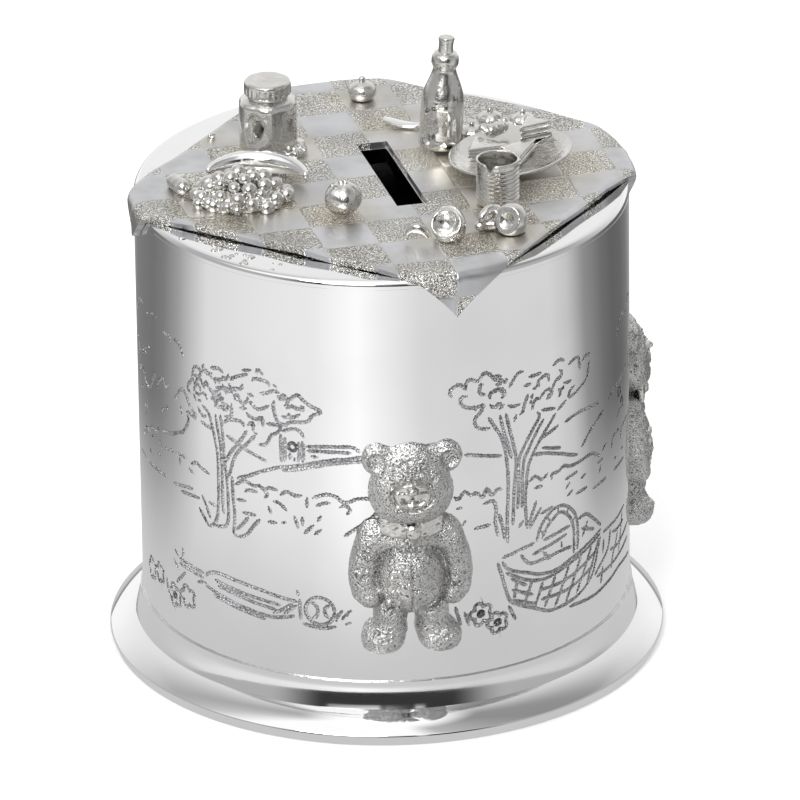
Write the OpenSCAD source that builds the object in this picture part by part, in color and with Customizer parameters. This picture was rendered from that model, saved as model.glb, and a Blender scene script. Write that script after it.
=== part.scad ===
// Pewter money box: a plain cylinder on a spun foot, with cast bears on its wall
// and a cast picnic on its lid. All lengths are millimetres. The origin is the
// centre of the foot's underside, +Z is up, and the coin slot runs along Y.

/* [Drum] */
// Outer radius of the drum
drum_r = 45; // [40:0.5:50]
// Height of the drum above the foot, with its top plate
drum_h = 79; // [75:1:90]
// Thickness of the drum's wall
drum_wall = 1.2; // [0.8:0.1:2]
// Thickness of the top plate
plate_t = 1.6; // [1.2:0.1:2]

/* [Foot] */
// Widest radius of the foot ring
foot_r = 51.25; // [50.5:0.25:56]
// Height of the foot ring
foot_h = 10; // [9:0.5:12]
// Thickness of the base plate
base_t = 1.6; // [1.2:0.1:2]
// Height of the base plate's underside above the table
base_z = 3.2; // [2.6:0.1:3.4]

/* [Stopper] */
// Radius of the hole that the coins come out of
stopper_hole_r = 17; // [15:0.5:18]
// Radial gap between the stopper and its hole
stopper_gap = 0.05; // [0.02:0.01:0.1]

/* [Cloth] */
// Thickness of the cast cloth
cloth_t = 1.6; // [1.2:0.1:2]
// Half of the cloth's diagonal, measured over the folded corners
cloth_half_diag = 54; // [52:0.5:56]
// How far the cloth and the slot sit to one side of the drum's axis
lid_shift = 2; // [0:0.5:2.5]
// Width of the coin slot
slot_w = 5.5; // [5:0.1:6.5]
// Length of the coin slot
slot_l = 29; // [27:0.5:30]

/* [Bears] */
// Height of a bear's feet above the drum's lower edge
bear_lift = 5.9; // [4:0.1:8]
// Direction of the front bear, in degrees from -Y towards +X
front_bear_turn = -8.9; // [-12:0.1:12]
// Direction of the side bear, in degrees from -Y towards +X
side_bear_turn = 90; // [80:1:100]

/* [Hidden] */

$fn = 96;
eps = 0.01;
drum_top = foot_h + drum_h;
cloth_top = drum_top + cloth_t;
spigot_gap = 0.1;
spigot_r = drum_r - drum_wall - spigot_gap;
foot_bore_r = 41.5;
base_r = 46;
cloth_lap = 0.1;
cloth_r = drum_r + cloth_lap + 1.3;
stopper_r = stopper_hole_r - stopper_gap;
stopper_flange_r = stopper_hole_r + 3;
stopper_flange_t = 1.4;
stopper_plug_h = 5;
stopper_wall = 1.6;
notch_r = 1.8;

pewter = [0.74, 0.74, 0.76];
cast_pewter = [0.66, 0.65, 0.62];
bright_pewter = [0.84, 0.84, 0.86];

// Points of an arc about c, from angle a0 to a1, in n steps
function arc(c, r, a0, a1, n) =
    [for (i = [0 : n]) let (a = a0 + (a1 - a0) * i / n) c + r * [cos(a), sin(a)]];

// Where a square corner at distance d from the axis crosses the circle r:
// half of the width that the folded corner has there
function fold_half_width(d, r) = (d - sqrt(2 * r * r - d * d)) / 2;

// A place on the cloth's top
module on_cloth(x, y, turn = 0) {
    translate([x, y, cloth_top]) rotate([0, 0, turn]) children();
}

// A rod with round ends between two points
module capsule(a, b, r) {
    d = b - a;
    len = norm(d);
    translate(a) {
        sphere(r);
        rotate([0, acos(d[2] / len), atan2(d[1], d[0])]) cylinder(r = r, h = len);
    }
    translate(b) sphere(r);
}

// The coin slot, cut through everything between two heights
module slot_cut(z0, z1) {
    translate([lid_shift - slot_w / 2, -slot_l / 2, z0]) cube([slot_w, slot_l, z1 - z0]);
}

// Open tube that holds the coins
module drum_shell() {
    color(bright_pewter)
        translate([0, 0, foot_h])
            difference() {
                cylinder(r = drum_r, h = drum_h - plate_t);
                translate([0, 0, -eps]) cylinder(r = drum_r - drum_wall, h = drum_h - plate_t + 2 * eps);
            }
}

// Disc that closes the tube, with a rounded rim and a spigot inside the wall
module top_plate() {
    rim = 1.2;
    spigot_h = 1.2;
    color(bright_pewter)
        difference() {
            translate([0, 0, drum_top - plate_t])
                rotate_extrude()
                    polygon(concat(
                        [[0, -spigot_h], [spigot_r, -spigot_h], [spigot_r, 0], [drum_r, 0]],
                        arc([drum_r - rim, plate_t - rim], rim, 0, 90, 6),
                        [[0, plate_t]]));
            slot_cut(drum_top - plate_t - spigot_h - eps, drum_top + eps);
        }
}

// Spun foot: a hollow cove under the drum and a round bead at the table
module foot_ring() {
    bead_r = 1.9;
    crown_r = 1.2;
    bead = [foot_r - bead_r, foot_h - 7.3];
    crown = [foot_r - 2.8, foot_h - 5.4];
    lip = 1.2;
    color(bright_pewter)
        rotate_extrude()
            polygon(concat(
                [[foot_bore_r, foot_h + lip], [foot_bore_r, base_z + base_t],
                 [base_r, base_z + base_t], [base_r, 0], [foot_r - 1.5, 0]],
                arc(bead, bead_r, -50, 38, 7),
                arc(crown, crown_r, 44, 130, 6),
                arc([drum_r + 4.2, foot_h - 1.2], 3.7, 232, 186, 5),
                [[drum_r + 0.4, foot_h], [spigot_r, foot_h], [spigot_r, foot_h + lip]]));
}

// Disc inside the foot, with the hole that the coins come out of
module base_plate() {
    color(pewter)
        translate([0, 0, base_z])
            difference() {
                cylinder(r = base_r, h = base_t);
                translate([0, 0, -eps]) cylinder(r = stopper_hole_r, h = base_t + 2 * eps);
            }
}

// Flanged plug, hollow on top, that pulls out downwards
module base_stopper() {
    color([0.09, 0.09, 0.1])
        translate([0, 0, base_z - stopper_flange_t])
            difference() {
                union() {
                    cylinder(r = stopper_flange_r, h = stopper_flange_t);
                    cylinder(r = stopper_r, h = stopper_flange_t + stopper_plug_h);
                }
                translate([0, 0, stopper_flange_t])
                    cylinder(r = stopper_r - stopper_wall, h = stopper_plug_h + eps);
                translate([0, -stopper_flange_r, -eps])
                    cylinder(r = notch_r, h = stopper_flange_t + 2 * eps);
            }
}

// Triangle of a folded corner, which hangs down the drum's wall at a turn
// from -Y, where the flat cloth would reach the distance d from the axis
module folded_corner(turn, d) {
    half_w = 0.95 * fold_half_width(d, cloth_r);
    rotate([0, 0, turn])
        translate([0, 0, drum_top + cloth_t / 2])
            rotate([90, 0, 0])
                linear_extrude(cloth_r + 1)
                    polygon([[-half_w, 0], [half_w, 0], [half_w, -cloth_t], [0, cloth_r - d], [-half_w, -cloth_t]]);
}

// Flat disc with a skirt down the drum's wall: all that the cloth may fill
module cloth_blank() {
    skirt_h = 12;
    rotate_extrude()
        polygon([[0, drum_top], [drum_r + cloth_lap, drum_top], [drum_r + cloth_lap, drum_top - skirt_h],
                 [cloth_r, drum_top - skirt_h], [cloth_r, cloth_top], [0, cloth_top]]);
}

// Square cloth laid corner to the front, with the slot through it
module picnic_cloth() {
    side = cloth_half_diag * sqrt(2);
    color(cast_pewter)
        difference() {
            intersection() {
                cloth_blank();
                union() {
                    translate([lid_shift, 0, drum_top + cloth_t / 2])
                        rotate([0, 0, 45]) cube([side, side, 2 * cloth_t], center = true);
                    folded_corner(0, cloth_half_diag);
                    folded_corner(90, cloth_half_diag + lid_shift);
                    folded_corner(180, cloth_half_diag);
                    folded_corner(270, cloth_half_diag - lid_shift);
                }
            }
            slot_cut(drum_top - eps, cloth_top + eps);
        }
}

// Sphere with its poles across the bear, clear of the bear's cut back
module ball(r) {
    rotate([90, 0, 0]) sphere(r);
}

// Teddy bear in relief. Its back is the drum's own wall. Points are given as
// across, out from the wall, and up from the feet.
module bear() {
    function at(across, out, up) = [across, -drum_r - out, foot_h + bear_lift + up];
    difference() {
        union() {
            translate(at(0.3, -2.6, 32.2)) ball(8.2);
            translate(at(-0.2, 3, 30.4)) ball(3.1);
            translate(at(-0.3, -3.3, 22.5)) ball(7.7);
            translate(at(0.2, -3, 14.2)) ball(8.8);
            for (side = [-1, 1]) {
                translate(at(side * 7.7, 0.2, 38.6)) ball(3.3);
                for (t = [0 : 0.5 : 1])
                    translate(at(side * (7 + 1.7 * t), 0.3 + 0.4 * t, 23.7 - 10 * t)) ball(3.3 + 0.2 * t);
                translate(at(side * 4.3, 0.3, 8.1)) ball(4);
                translate(at(side * 4.7, 1.5, 4.3)) ball(4.3);
            }
        }
        cylinder(r = drum_r, h = drum_top);
    }
}

module front_bear() {
    color(cast_pewter) rotate([0, 0, front_bear_turn]) bear();
}

module side_bear() {
    color(cast_pewter) rotate([0, 0, side_bear_turn]) bear();
}

// Jar with a flat lid
module honey_jar() {
    color(cast_pewter)
        on_cloth(-16.8, 17)
            rotate_extrude()
                polygon([[0, 0], [5.2, 0], [5.4, 1], [5.4, 9.4], [4.1, 10.6], [4.1, 11.2],
                         [4.3, 11.4], [4.3, 13.6], [0, 13.6]]);
}

// Tall bottle with a corked neck, leaning a little to the side
module bottle() {
    color(cast_pewter)
        on_cloth(13, 9.2)
            intersection() {
                rotate([0, 3.5, 0])
                    translate([0, 0, -1])
                        rotate_extrude()
                            polygon([[0, 0], [4.1, 0], [4.1, 9.6], [3.8, 11.2], [2.6, 14.4], [2.1, 16.2],
                                     [2.1, 17.2], [2.5, 18.2], [2.3, 19.6], [1.4, 19.9], [1.4, 23.3],
                                     [0, 23.3]]);
                cylinder(r = 12, h = 30);
            }
}

// Heaped grapes: a ring of fruit around a taller middle
module grape_bunch() {
    grape_r = 2.3;
    color(cast_pewter)
        on_cloth(-27.2, -4.4, -12)
            difference() {
                union() {
                    for (a = [0 : 36 : 359])
                        translate([7.2 * cos(a), 4.6 * sin(a), 1.2]) sphere(grape_r);
                    for (a = [0 : 60 : 359])
                        translate([3.6 * cos(a), 2.2 * sin(a), 3]) sphere(grape_r + 0.2);
                }
                translate([0, 0, -6]) cylinder(r = 20, h = 6);
            }
}

// Banana that curls round the back of the grapes
module banana() {
    arc_r = 10;
    thick_r = 1.5;
    color(bright_pewter)
        on_cloth(-25.6, -2.2, 15)
            rotate_extrude(angle = 120)
                translate([arc_r, thick_r]) circle(thick_r);
}

// Blunt end of a second fruit, showing at the side of the grapes
module fruit_end() {
    color(cast_pewter)
        on_cloth(-36.6, 2.4)
            difference() {
                capsule([-0.5, 2.2, 1], [0, -1.2, 1], 1.6);
                translate([0, 0, -6]) cylinder(r = 8, h = 6);
            }
}

module apple() {
    color(cast_pewter)
        on_cloth(-11, -15)
            difference() {
                translate([0, 0, 2.4]) sphere(3.4);
                translate([0, 0, -6]) cylinder(r = 8, h = 6);
            }
}

// Small round cake with a cherry on top
module cake(r, h) {
    color(cast_pewter)
        rotate_extrude()
            polygon(concat(
                [[0, 0], [r * 0.8, 0], [r, h * 0.45], [r * 0.9, h * 0.65], [0.6, h * 0.8]],
                arc([0, h * 1.05], 0.75, -50, 90, 5)));
}

module iced_bun() {
    on_cloth(5.6, 35.2) cake(2.5, 3.4);
}

module cake_1() {
    on_cloth(20.2, 11.4) cake(2.3, 2.6);
}

module cake_2() {
    on_cloth(25, 16.6) cake(2.4, 2.6);
}

module cake_3() {
    on_cloth(26.3, 11.2) cake(2.3, 2.6);
}

module cake_4() {
    on_cloth(30.4, 13.6) cake(2.3, 3);
}

// Flat curved blade lying on the cloth behind the bottle
module butter_knife() {
    blade_r = 9;
    color(bright_pewter)
        on_cloth(15.2, 27)
            for (a = [207 : 14 : 249])
                translate([blade_r * cos(a), blade_r * sin(a), 0]) cylinder(r = 1.5, h = 0.9);
}

// Dished plate with a foot, one side raised
module picnic_plate() {
    plate_r = 11.4;
    color(cast_pewter)
        on_cloth(23.8, -2.6)
            rotate_extrude()
                polygon([[0, 0], [6.4, 0], [9.8, 0.9], [plate_r, 2.1], [plate_r, 2.7], [9.4, 1.9],
                         [6.2, 1.2], [0, 1.2]]);
}

// Triangular sandwich of side s and thickness t
module sandwich(s, t) {
    color(cast_pewter) linear_extrude(t) polygon([[0, 0], [s, 0], [s / 2, s * 0.7]]);
}

// Height of the plate's floor above the cloth
plate_floor = 1.2;

module sandwich_1() {
    on_cloth(15.6, -2.4, 10) translate([0, 0, plate_floor + 0.6]) sandwich(8.4, 1.7);
}

module sandwich_2() {
    on_cloth(24.2, -7.4, 52) translate([0, 0, plate_floor + 0.6]) sandwich(7.4, 1.9);
}

module sandwich_3() {
    on_cloth(26.6, 1.2, 5) translate([0, 0, plate_floor + 1.2]) sandwich(6.2, 3.2);
}

module bread_roll() {
    roll_r = 1.7;
    roll_l = 6;
    color(cast_pewter)
        on_cloth(19.6, 4, 20)
            translate([0, 0, plate_floor + roll_r + 1])
                rotate([0, 90, 0])
                    rotate_extrude()
                        polygon(concat([[0, 0]], arc([0.5, 1.2], 1.2, 270, 360, 4), arc([0.5, roll_l - 1.2], 1.2, 0, 90, 4),
                                       [[0, roll_l]]));
}

// Ribbed drinking beaker, open at the top
module beaker() {
    beaker_r = 4;
    beaker_h = 8.6;
    beaker_wall = 0.5;
    color(cast_pewter)
        on_cloth(16.9, -18.4)
            difference() {
                cylinder(r = beaker_r, h = beaker_h);
                translate([0, 0, 1]) cylinder(r = beaker_r - beaker_wall, h = beaker_h);
            }
}

// Round bun with a wedge cut out of its side
module split_bun() {
    color(cast_pewter)
        on_cloth(13.8, -30.2, -30)
            difference() {
                union() {
                    translate([1.6, 0, 1.6]) sphere(3.8);
                    translate([-1.4, 0, 1]) sphere(3.4);
                }
                translate([-7, -6, -6]) cube([20, 12, 6]);
                translate([-6, -1.2, 2.2]) cube([6, 2.4, 6]);
            }
}

// Halved peach lying on its side, the stone's hollow facing out
module peach_half() {
    color(cast_pewter)
        on_cloth(4.4, -31, 15)
            difference() {
                translate([0, 0, 2.2]) sphere(3.6);
                translate([-6, -6, -6]) cube([12, 12, 6]);
                translate([0, -5.2, 3.4]) sphere(2.6);
            }
}

// Thin slice of the same fruit leaning on the half
module peach_slice() {
    color(cast_pewter)
        on_cloth(-1.7, -31.8, -20)
            difference() {
                translate([0, 0, 1]) sphere(2.4);
                translate([-4, -4, -6]) cube([8, 8, 6]);
                translate([0.6, 0, 3.2]) sphere(1.8);
            }
}

// Scrap of solder at the cloth's edge
module crumb() {
    color(cast_pewter) on_cloth(-25.8, 24) cylinder(r1 = 0.9, r2 = 0.4, h = 1.4);
}

drum_shell();
top_plate();
foot_ring();
base_plate();
base_stopper();
picnic_cloth();
front_bear();
side_bear();
honey_jar();
bottle();
grape_bunch();
banana();
fruit_end();
apple();
iced_bun();
cake_1();
cake_2();
cake_3();
cake_4();
butter_knife();
picnic_plate();
sandwich_1();
sandwich_2();
sandwich_3();
bread_roll();
beaker();
split_bun();
peach_half();
peach_slice();
crumb();
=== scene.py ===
import math
import random

import bmesh
import bpy
from mathutils import Matrix, Quaternion, Vector, kdtree, noise


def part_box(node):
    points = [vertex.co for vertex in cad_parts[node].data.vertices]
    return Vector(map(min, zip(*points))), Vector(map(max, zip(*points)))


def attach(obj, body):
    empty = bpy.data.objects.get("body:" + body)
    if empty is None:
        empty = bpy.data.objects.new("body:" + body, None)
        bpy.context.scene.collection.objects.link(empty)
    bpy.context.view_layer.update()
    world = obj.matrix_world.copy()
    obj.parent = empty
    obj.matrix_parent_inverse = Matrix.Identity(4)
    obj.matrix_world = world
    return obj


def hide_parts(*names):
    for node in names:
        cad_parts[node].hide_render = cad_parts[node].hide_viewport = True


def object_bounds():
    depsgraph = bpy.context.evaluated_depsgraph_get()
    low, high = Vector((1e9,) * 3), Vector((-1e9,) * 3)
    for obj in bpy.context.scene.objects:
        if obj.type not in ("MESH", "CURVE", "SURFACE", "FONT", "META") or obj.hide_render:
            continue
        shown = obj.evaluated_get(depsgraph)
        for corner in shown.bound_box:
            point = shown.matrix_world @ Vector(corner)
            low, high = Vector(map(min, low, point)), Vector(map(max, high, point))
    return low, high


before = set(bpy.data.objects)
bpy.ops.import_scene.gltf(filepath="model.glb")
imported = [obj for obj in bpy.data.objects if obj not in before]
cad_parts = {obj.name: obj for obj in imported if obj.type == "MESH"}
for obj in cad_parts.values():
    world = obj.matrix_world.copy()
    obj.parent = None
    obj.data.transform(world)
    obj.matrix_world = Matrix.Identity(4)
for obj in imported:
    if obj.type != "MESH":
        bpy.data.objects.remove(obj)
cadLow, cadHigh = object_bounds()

# Pewter money box: a polished drum with an engraved picnic, cast bears on its wall,
# and a cast picnic cloth for a lid. The frame is metres; mm() turns millimetres to metres.


def mm(value):
    return value * 0.001


# a point round the drum: turn is in degrees from the front (-Y) towards +X
def onWall(turn, radius, height):
    a = math.radians(turn)
    return Vector((radius * math.sin(a), -radius * math.cos(a), height))


drumLow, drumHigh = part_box("drum_shell")
footLow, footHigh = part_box("foot_ring")
plateLow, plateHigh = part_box("top_plate")
clothLow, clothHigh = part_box("picnic_cloth")
drumRadius = drumHigh.x
drumFoot = drumLow.z
lidTop = plateHigh.z
clothTop = clothHigh.z

# camera
camera = {
    "distance": 1.707,
    "elevation": 24.7,
    "turn": -14.5,
    "aim": (0.00283, -0.00073, 0.0453),
    "lens": 418.9,
    "roll": -0.694,
}
camEl = math.radians(camera["elevation"])
towards = onWall(camera["turn"], 1.0, 0.0)
camPlace = Vector(camera["aim"]) + camera["distance"] * Vector(
    (towards.x * math.cos(camEl), towards.y * math.cos(camEl), math.sin(camEl)))
camData = bpy.data.cameras.new("studioCamera")
camData.lens = camera["lens"]
camData.sensor_width = 36
camObject = bpy.data.objects.new("studioCamera", camData)
bpy.context.scene.collection.objects.link(camObject)
look = (Vector(camera["aim"]) - camPlace).to_track_quat("-Z", "Y")
camObject.rotation_mode = "QUATERNION"
camObject.rotation_quaternion = look @ Quaternion((0, 0, 1), math.radians(camera["roll"]))
camObject.location = camPlace
bpy.context.scene.camera = camObject
bpy.context.scene.view_settings.view_transform = "Standard"


def addNode(tree, kind, place=(0, 0), **values):
    node = tree.nodes.new(kind)
    node.location = place
    for key, value in values.items():
        setattr(node, key, value)
    return node


def maths(tree, operation, a, b=None, c=None, clamp=False):
    node = addNode(tree, "ShaderNodeMath", operation=operation, use_clamp=clamp)
    for socket, value in zip(node.inputs, (a, b, c)):
        if value is None:
            continue
        if isinstance(value, (int, float)):
            socket.default_value = value
        else:
            tree.links.new(value, socket)
    return node.outputs[0]


def rampOf(tree, factor, stops, interpolation="LINEAR"):
    node = addNode(tree, "ShaderNodeValToRGB")
    node.color_ramp.interpolation = interpolation
    points = node.color_ramp.elements
    while len(points) < len(stops):
        points.new(0.5)
    for point, (place, shade) in zip(points, stops):
        point.position = place
    for point, (place, shade) in zip(points, stops):
        point.position = place
        point.color = (shade, shade, shade, 1) if isinstance(shade, float) else (*shade, 1)
    if not isinstance(factor, (int, float)):
        tree.links.new(factor, node.inputs[0])
    return node.outputs[0]


def stepSmooth(tree, value, low, high):
    node = addNode(tree, "ShaderNodeMapRange", interpolation_type="SMOOTHSTEP")
    tree.links.new(value, node.inputs[0])
    node.inputs[1].default_value = low
    node.inputs[2].default_value = high
    return node.outputs[0]


def mixNumbers(tree, factor, a, b):
    node = addNode(tree, "ShaderNodeMix", data_type="FLOAT")
    for socket, value in ((node.inputs[0], factor), (node.inputs[2], a), (node.inputs[3], b)):
        if isinstance(value, (int, float)):
            socket.default_value = value
        else:
            tree.links.new(value, socket)
    return node.outputs[0]


# turn of a direction round the studio: 0 towards the camera, -1 and 1 behind
def studioTurn(tree, vector):
    parts = []
    for axis in (Vector((-towards.y, towards.x, 0)), Vector((towards.x, towards.y, 0))):
        dot = addNode(tree, "ShaderNodeVectorMath", operation="DOT_PRODUCT")
        tree.links.new(vector, dot.inputs[0])
        dot.inputs[1].default_value = axis
        parts.append(dot.outputs["Value"])
    angle = maths(tree, "ARCTAN2", parts[0], parts[1])
    return maths(tree, "DIVIDE", angle, math.pi)


# white card under and round the box, seen only in the polish
card = {
    "half": 1.2,
    "drop": 0.0004,
    "nearRadius": 0.058,
    "farRadius": 0.150,
    "nearLight": 0.62,
    "light": 1.0,
    # share of a half turn from the camera, and the card's brightness there
    "stops": [(-1.0, 0.40), (-0.88, 0.36), (-0.83, 0.22), (-0.76, 0.20), (-0.68, 0.18),
              (-0.62, 0.22), (-0.555, 0.36), (-0.50, 0.58), (-0.45, 0.78), (-0.30, 0.86),
              (-0.16, 0.92), (-0.06, 1.10), (0.0, 0.96), (0.09, 0.76), (0.20, 0.72),
              (0.42, 0.72), (0.48, 0.60), (0.54, 0.30), (0.62, 0.17), (0.68, 0.13),
              (0.74, 0.14), (0.80, 0.20), (0.86, 0.36), (0.93, 0.70), (1.0, 0.70)],
}


def makeCard():
    bm = bmesh.new()
    bmesh.ops.create_grid(bm, x_segments=1, y_segments=1, size=card["half"])
    mesh = bpy.data.meshes.new("reflectionCard")
    bm.to_mesh(mesh)
    bm.free()
    mesh.transform(Matrix.Translation((0, 0, footLow.z - card["drop"])))
    obj = bpy.data.objects.new("reflectionCard", mesh)
    bpy.context.scene.collection.objects.link(obj)
    mat = bpy.data.materials.new("reflectionCard")
    mat.use_nodes = True
    tree = mat.node_tree
    tree.nodes.clear()
    coords = addNode(tree, "ShaderNodeTexCoord")
    turn = studioTurn(tree, coords.outputs["Object"])
    turn01 = maths(tree, "MULTIPLY_ADD", turn, 0.5, 0.5)
    shades = rampOf(tree, turn01, [(0.5 + 0.5 * t, s) for t, s in card["stops"]])
    length = addNode(tree, "ShaderNodeVectorMath", operation="LENGTH")
    tree.links.new(coords.outputs["Object"], length.inputs[0])
    far = stepSmooth(tree, length.outputs["Value"], card["nearRadius"], card["farRadius"])
    level = mixNumbers(tree, far, card["nearLight"], shades)
    glow = addNode(tree, "ShaderNodeEmission")
    tree.links.new(maths(tree, "MULTIPLY", level, card["light"]), glow.inputs["Color"])
    out = addNode(tree, "ShaderNodeOutputMaterial")
    tree.links.new(glow.outputs[0], out.inputs[0])
    mesh.materials.append(mat)
    obj.visible_camera = False
    obj.visible_diffuse = False
    obj.visible_shadow = False
    obj.visible_transmission = False


# floor that the camera sees
floor = {"half": 6.0, "shade": (0.93, 0.93, 0.93)}


def makeFloor():
    bm = bmesh.new()
    bmesh.ops.create_grid(bm, x_segments=1, y_segments=1, size=floor["half"])
    mesh = bpy.data.meshes.new("paperFloor")
    bm.to_mesh(mesh)
    bm.free()
    mesh.transform(Matrix.Translation((0, 0, footLow.z - 0.00002)))
    obj = bpy.data.objects.new("paperFloor", mesh)
    bpy.context.scene.collection.objects.link(obj)
    mat = bpy.data.materials.new("paperFloor")
    mat.use_nodes = True
    tree = mat.node_tree
    skin = tree.nodes["Principled BSDF"]
    skin.inputs["Base Color"].default_value = (*floor["shade"], 1)
    skin.inputs["Roughness"].default_value = 0.9
    skin.inputs["Specular IOR Level"].default_value = 0.1
    mesh.materials.append(mat)
    obj.visible_glossy = False


# soft box room round the object: what the polish sees above the table
room = {
    "seen": 1.0,
    "fill": 1.0,
    "overhead": 1.15,
    "back": 1.02,
    "backEdge": 0.80,
    "frontSide": 0.46,
    "dark": 0.04,
    # share of a half turn from the camera, and how white the room is there
    "canopy": [(-1.0, 0.9), (-0.75, 0.35), (-0.62, 0.38), (-0.52, 0.60), (-0.42, 1.1), (0.10, 1.1), (0.19, 0.52),
               (0.45, 0.30), (0.75, 0.34), (1.0, 0.9)],
    "windows": [(-1.0, 0.0), (-0.150, 0.0), (-0.140, 0.95), (-0.022, 0.95), (-0.014, 0.0), (0.0, 0.30), (0.03, 0.10),
                (0.062, 0.0), (0.068, 0.7), (0.084, 0.7), (0.092, 0.0), (1.0, 0.0)],
}


def makeRoom():
    world = bpy.data.worlds.new("softRoom")
    bpy.context.scene.world = world
    world.use_nodes = True
    tree = world.node_tree
    tree.nodes.clear()
    coords = addNode(tree, "ShaderNodeTexCoord")
    direction = coords.outputs["Generated"]
    split = addNode(tree, "ShaderNodeSeparateXYZ")
    tree.links.new(direction, split.inputs[0])
    lift = split.outputs["Z"]
    turn = studioTurn(tree, direction)
    turn01 = maths(tree, "MULTIPLY_ADD", turn, 0.5, 0.5)
    off = maths(tree, "ABSOLUTE", turn)
    behind = stepSmooth(tree, off, 0.55, 0.85)
    back = mixNumbers(tree, stepSmooth(tree, lift, 0.15, 0.75), room["back"], room["backEdge"])
    canopy = rampOf(tree, turn01, [(0.5 + 0.5 * t, s) for t, s in room["canopy"]])
    windows = rampOf(tree, turn01, [(0.5 + 0.5 * t, s) for t, s in room["windows"]])
    side = stepSmooth(tree, off, 0.15, 0.30)
    low = mixNumbers(tree, side, room["dark"], room["frontSide"])
    low = maths(tree, "ADD", low, maths(tree, "MULTIPLY", windows, stepSmooth(tree, lift, 0.16, 0.22)))
    front = mixNumbers(tree, stepSmooth(tree, lift, 0.52, 0.64), low, canopy)
    level = mixNumbers(tree, behind, front, back)
    level = mixNumbers(tree, stepSmooth(tree, lift, 0.95, 0.995), level, room["overhead"])
    path = addNode(tree, "ShaderNodeLightPath")
    level = mixNumbers(tree, path.outputs["Is Diffuse Ray"], level, room["fill"])
    level = mixNumbers(tree, path.outputs["Is Camera Ray"], level, room["seen"])
    ground = addNode(tree, "ShaderNodeBackground")
    tree.links.new(level, ground.inputs["Color"])
    out = addNode(tree, "ShaderNodeOutputWorld")
    tree.links.new(ground.outputs[0], out.inputs[0])


lamps = [
    {"name": "keySoftbox", "place": (-0.55, -0.75, 0.95), "size": 0.7, "power": 9.0, "mirrored": True},
    {"name": "rimSoftbox", "place": (0.75, 0.55, 0.75), "size": 0.5, "power": 4.0, "mirrored": False},
]


def makeLamps():
    for lamp in lamps:
        data = bpy.data.lights.new(lamp["name"], "AREA")
        data.shape = "DISK"
        data.size = lamp["size"]
        data.energy = lamp["power"]
        obj = bpy.data.objects.new(lamp["name"], data)
        bpy.context.scene.collection.objects.link(obj)
        obj.location = lamp["place"]
        aim = Vector(camera["aim"]) - Vector(lamp["place"])
        obj.rotation_euler = aim.to_track_quat("-Z", "Y").to_euler()
        obj.visible_camera = False
        obj.visible_glossy = lamp["mirrored"]


makeCard()
makeFloor()
makeRoom()
makeLamps()
print("studio ready")


# shared effects: fine scratches and dulling of handled metal, and the grain of a casting
def groupSockets(group, inputs, outputs):
    for name, kind, value in inputs:
        socket = group.interface.new_socket(name, in_out="INPUT", socket_type=kind)
        if value is not None:
            socket.default_value = value
    for name, kind in outputs:
        group.interface.new_socket(name, in_out="OUTPUT", socket_type=kind)


def noiseOf(tree, vector, scale, detail, rough=0.5):
    node = addNode(tree, "ShaderNodeTexNoise")
    tree.links.new(vector, node.inputs["Vector"])
    if isinstance(scale, (int, float)):
        node.inputs["Scale"].default_value = scale
    else:
        tree.links.new(scale, node.inputs["Scale"])
    node.inputs["Detail"].default_value = detail
    node.inputs["Roughness"].default_value = rough
    return node.outputs["Fac"]


def makeHandledMetal():
    group = bpy.data.node_groups.new("handledMetal", "ShaderNodeTree")
    groupSockets(group, [
        ("Roughness", "NodeSocketFloat", 0.08),
        ("Smear", "NodeSocketFloat", 0.06),
        ("Scratch Depth", "NodeSocketFloat", 0.1),
        ("Dent Depth", "NodeSocketFloat", 0.1),
        ("Bright", "NodeSocketColor", (0.9, 0.9, 0.9, 1)),
        ("Dull", "NodeSocketColor", (0.7, 0.7, 0.7, 1)),
    ], [("Color", "NodeSocketColor"), ("Roughness", "NodeSocketFloat"), ("Normal", "NodeSocketVector")])
    start = addNode(group, "NodeGroupInput")
    end = addNode(group, "NodeGroupOutput")
    place = addNode(group, "ShaderNodeTexCoord").outputs["Object"]
    smear = noiseOf(group, place, 55.0, 4.0)
    smearMask = stepSmooth(group, smear, 0.42, 0.72)
    hair = addNode(group, "ShaderNodeMapping")
    hair.inputs["Scale"].default_value = (180.0, 180.0, 4200.0)
    group.links.new(place, hair.inputs["Vector"])
    scratch = noiseOf(group, hair.outputs[0], 1.0, 3.0, 0.7)
    dents = noiseOf(group, place, 38.0, 1.0)
    rough = maths(group, "MULTIPLY_ADD", smearMask, start.outputs["Smear"], start.outputs["Roughness"])
    fine = addNode(group, "ShaderNodeBump")
    fine.inputs["Distance"].default_value = 0.00002
    group.links.new(start.outputs["Scratch Depth"], fine.inputs["Strength"])
    group.links.new(scratch, fine.inputs["Height"])
    broad = addNode(group, "ShaderNodeBump")
    broad.inputs["Distance"].default_value = 0.0004
    group.links.new(start.outputs["Dent Depth"], broad.inputs["Strength"])
    group.links.new(dents, broad.inputs["Height"])
    group.links.new(fine.outputs[0], broad.inputs["Normal"])
    tone = addNode(group, "ShaderNodeMix", data_type="RGBA")
    group.links.new(maths(group, "MULTIPLY", smearMask, 0.6), tone.inputs[0])
    group.links.new(start.outputs["Bright"], tone.inputs[6])
    group.links.new(start.outputs["Dull"], tone.inputs[7])
    group.links.new(tone.outputs[2], end.inputs["Color"])
    group.links.new(rough, end.inputs["Roughness"])
    group.links.new(broad.outputs[0], end.inputs["Normal"])
    return group


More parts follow.
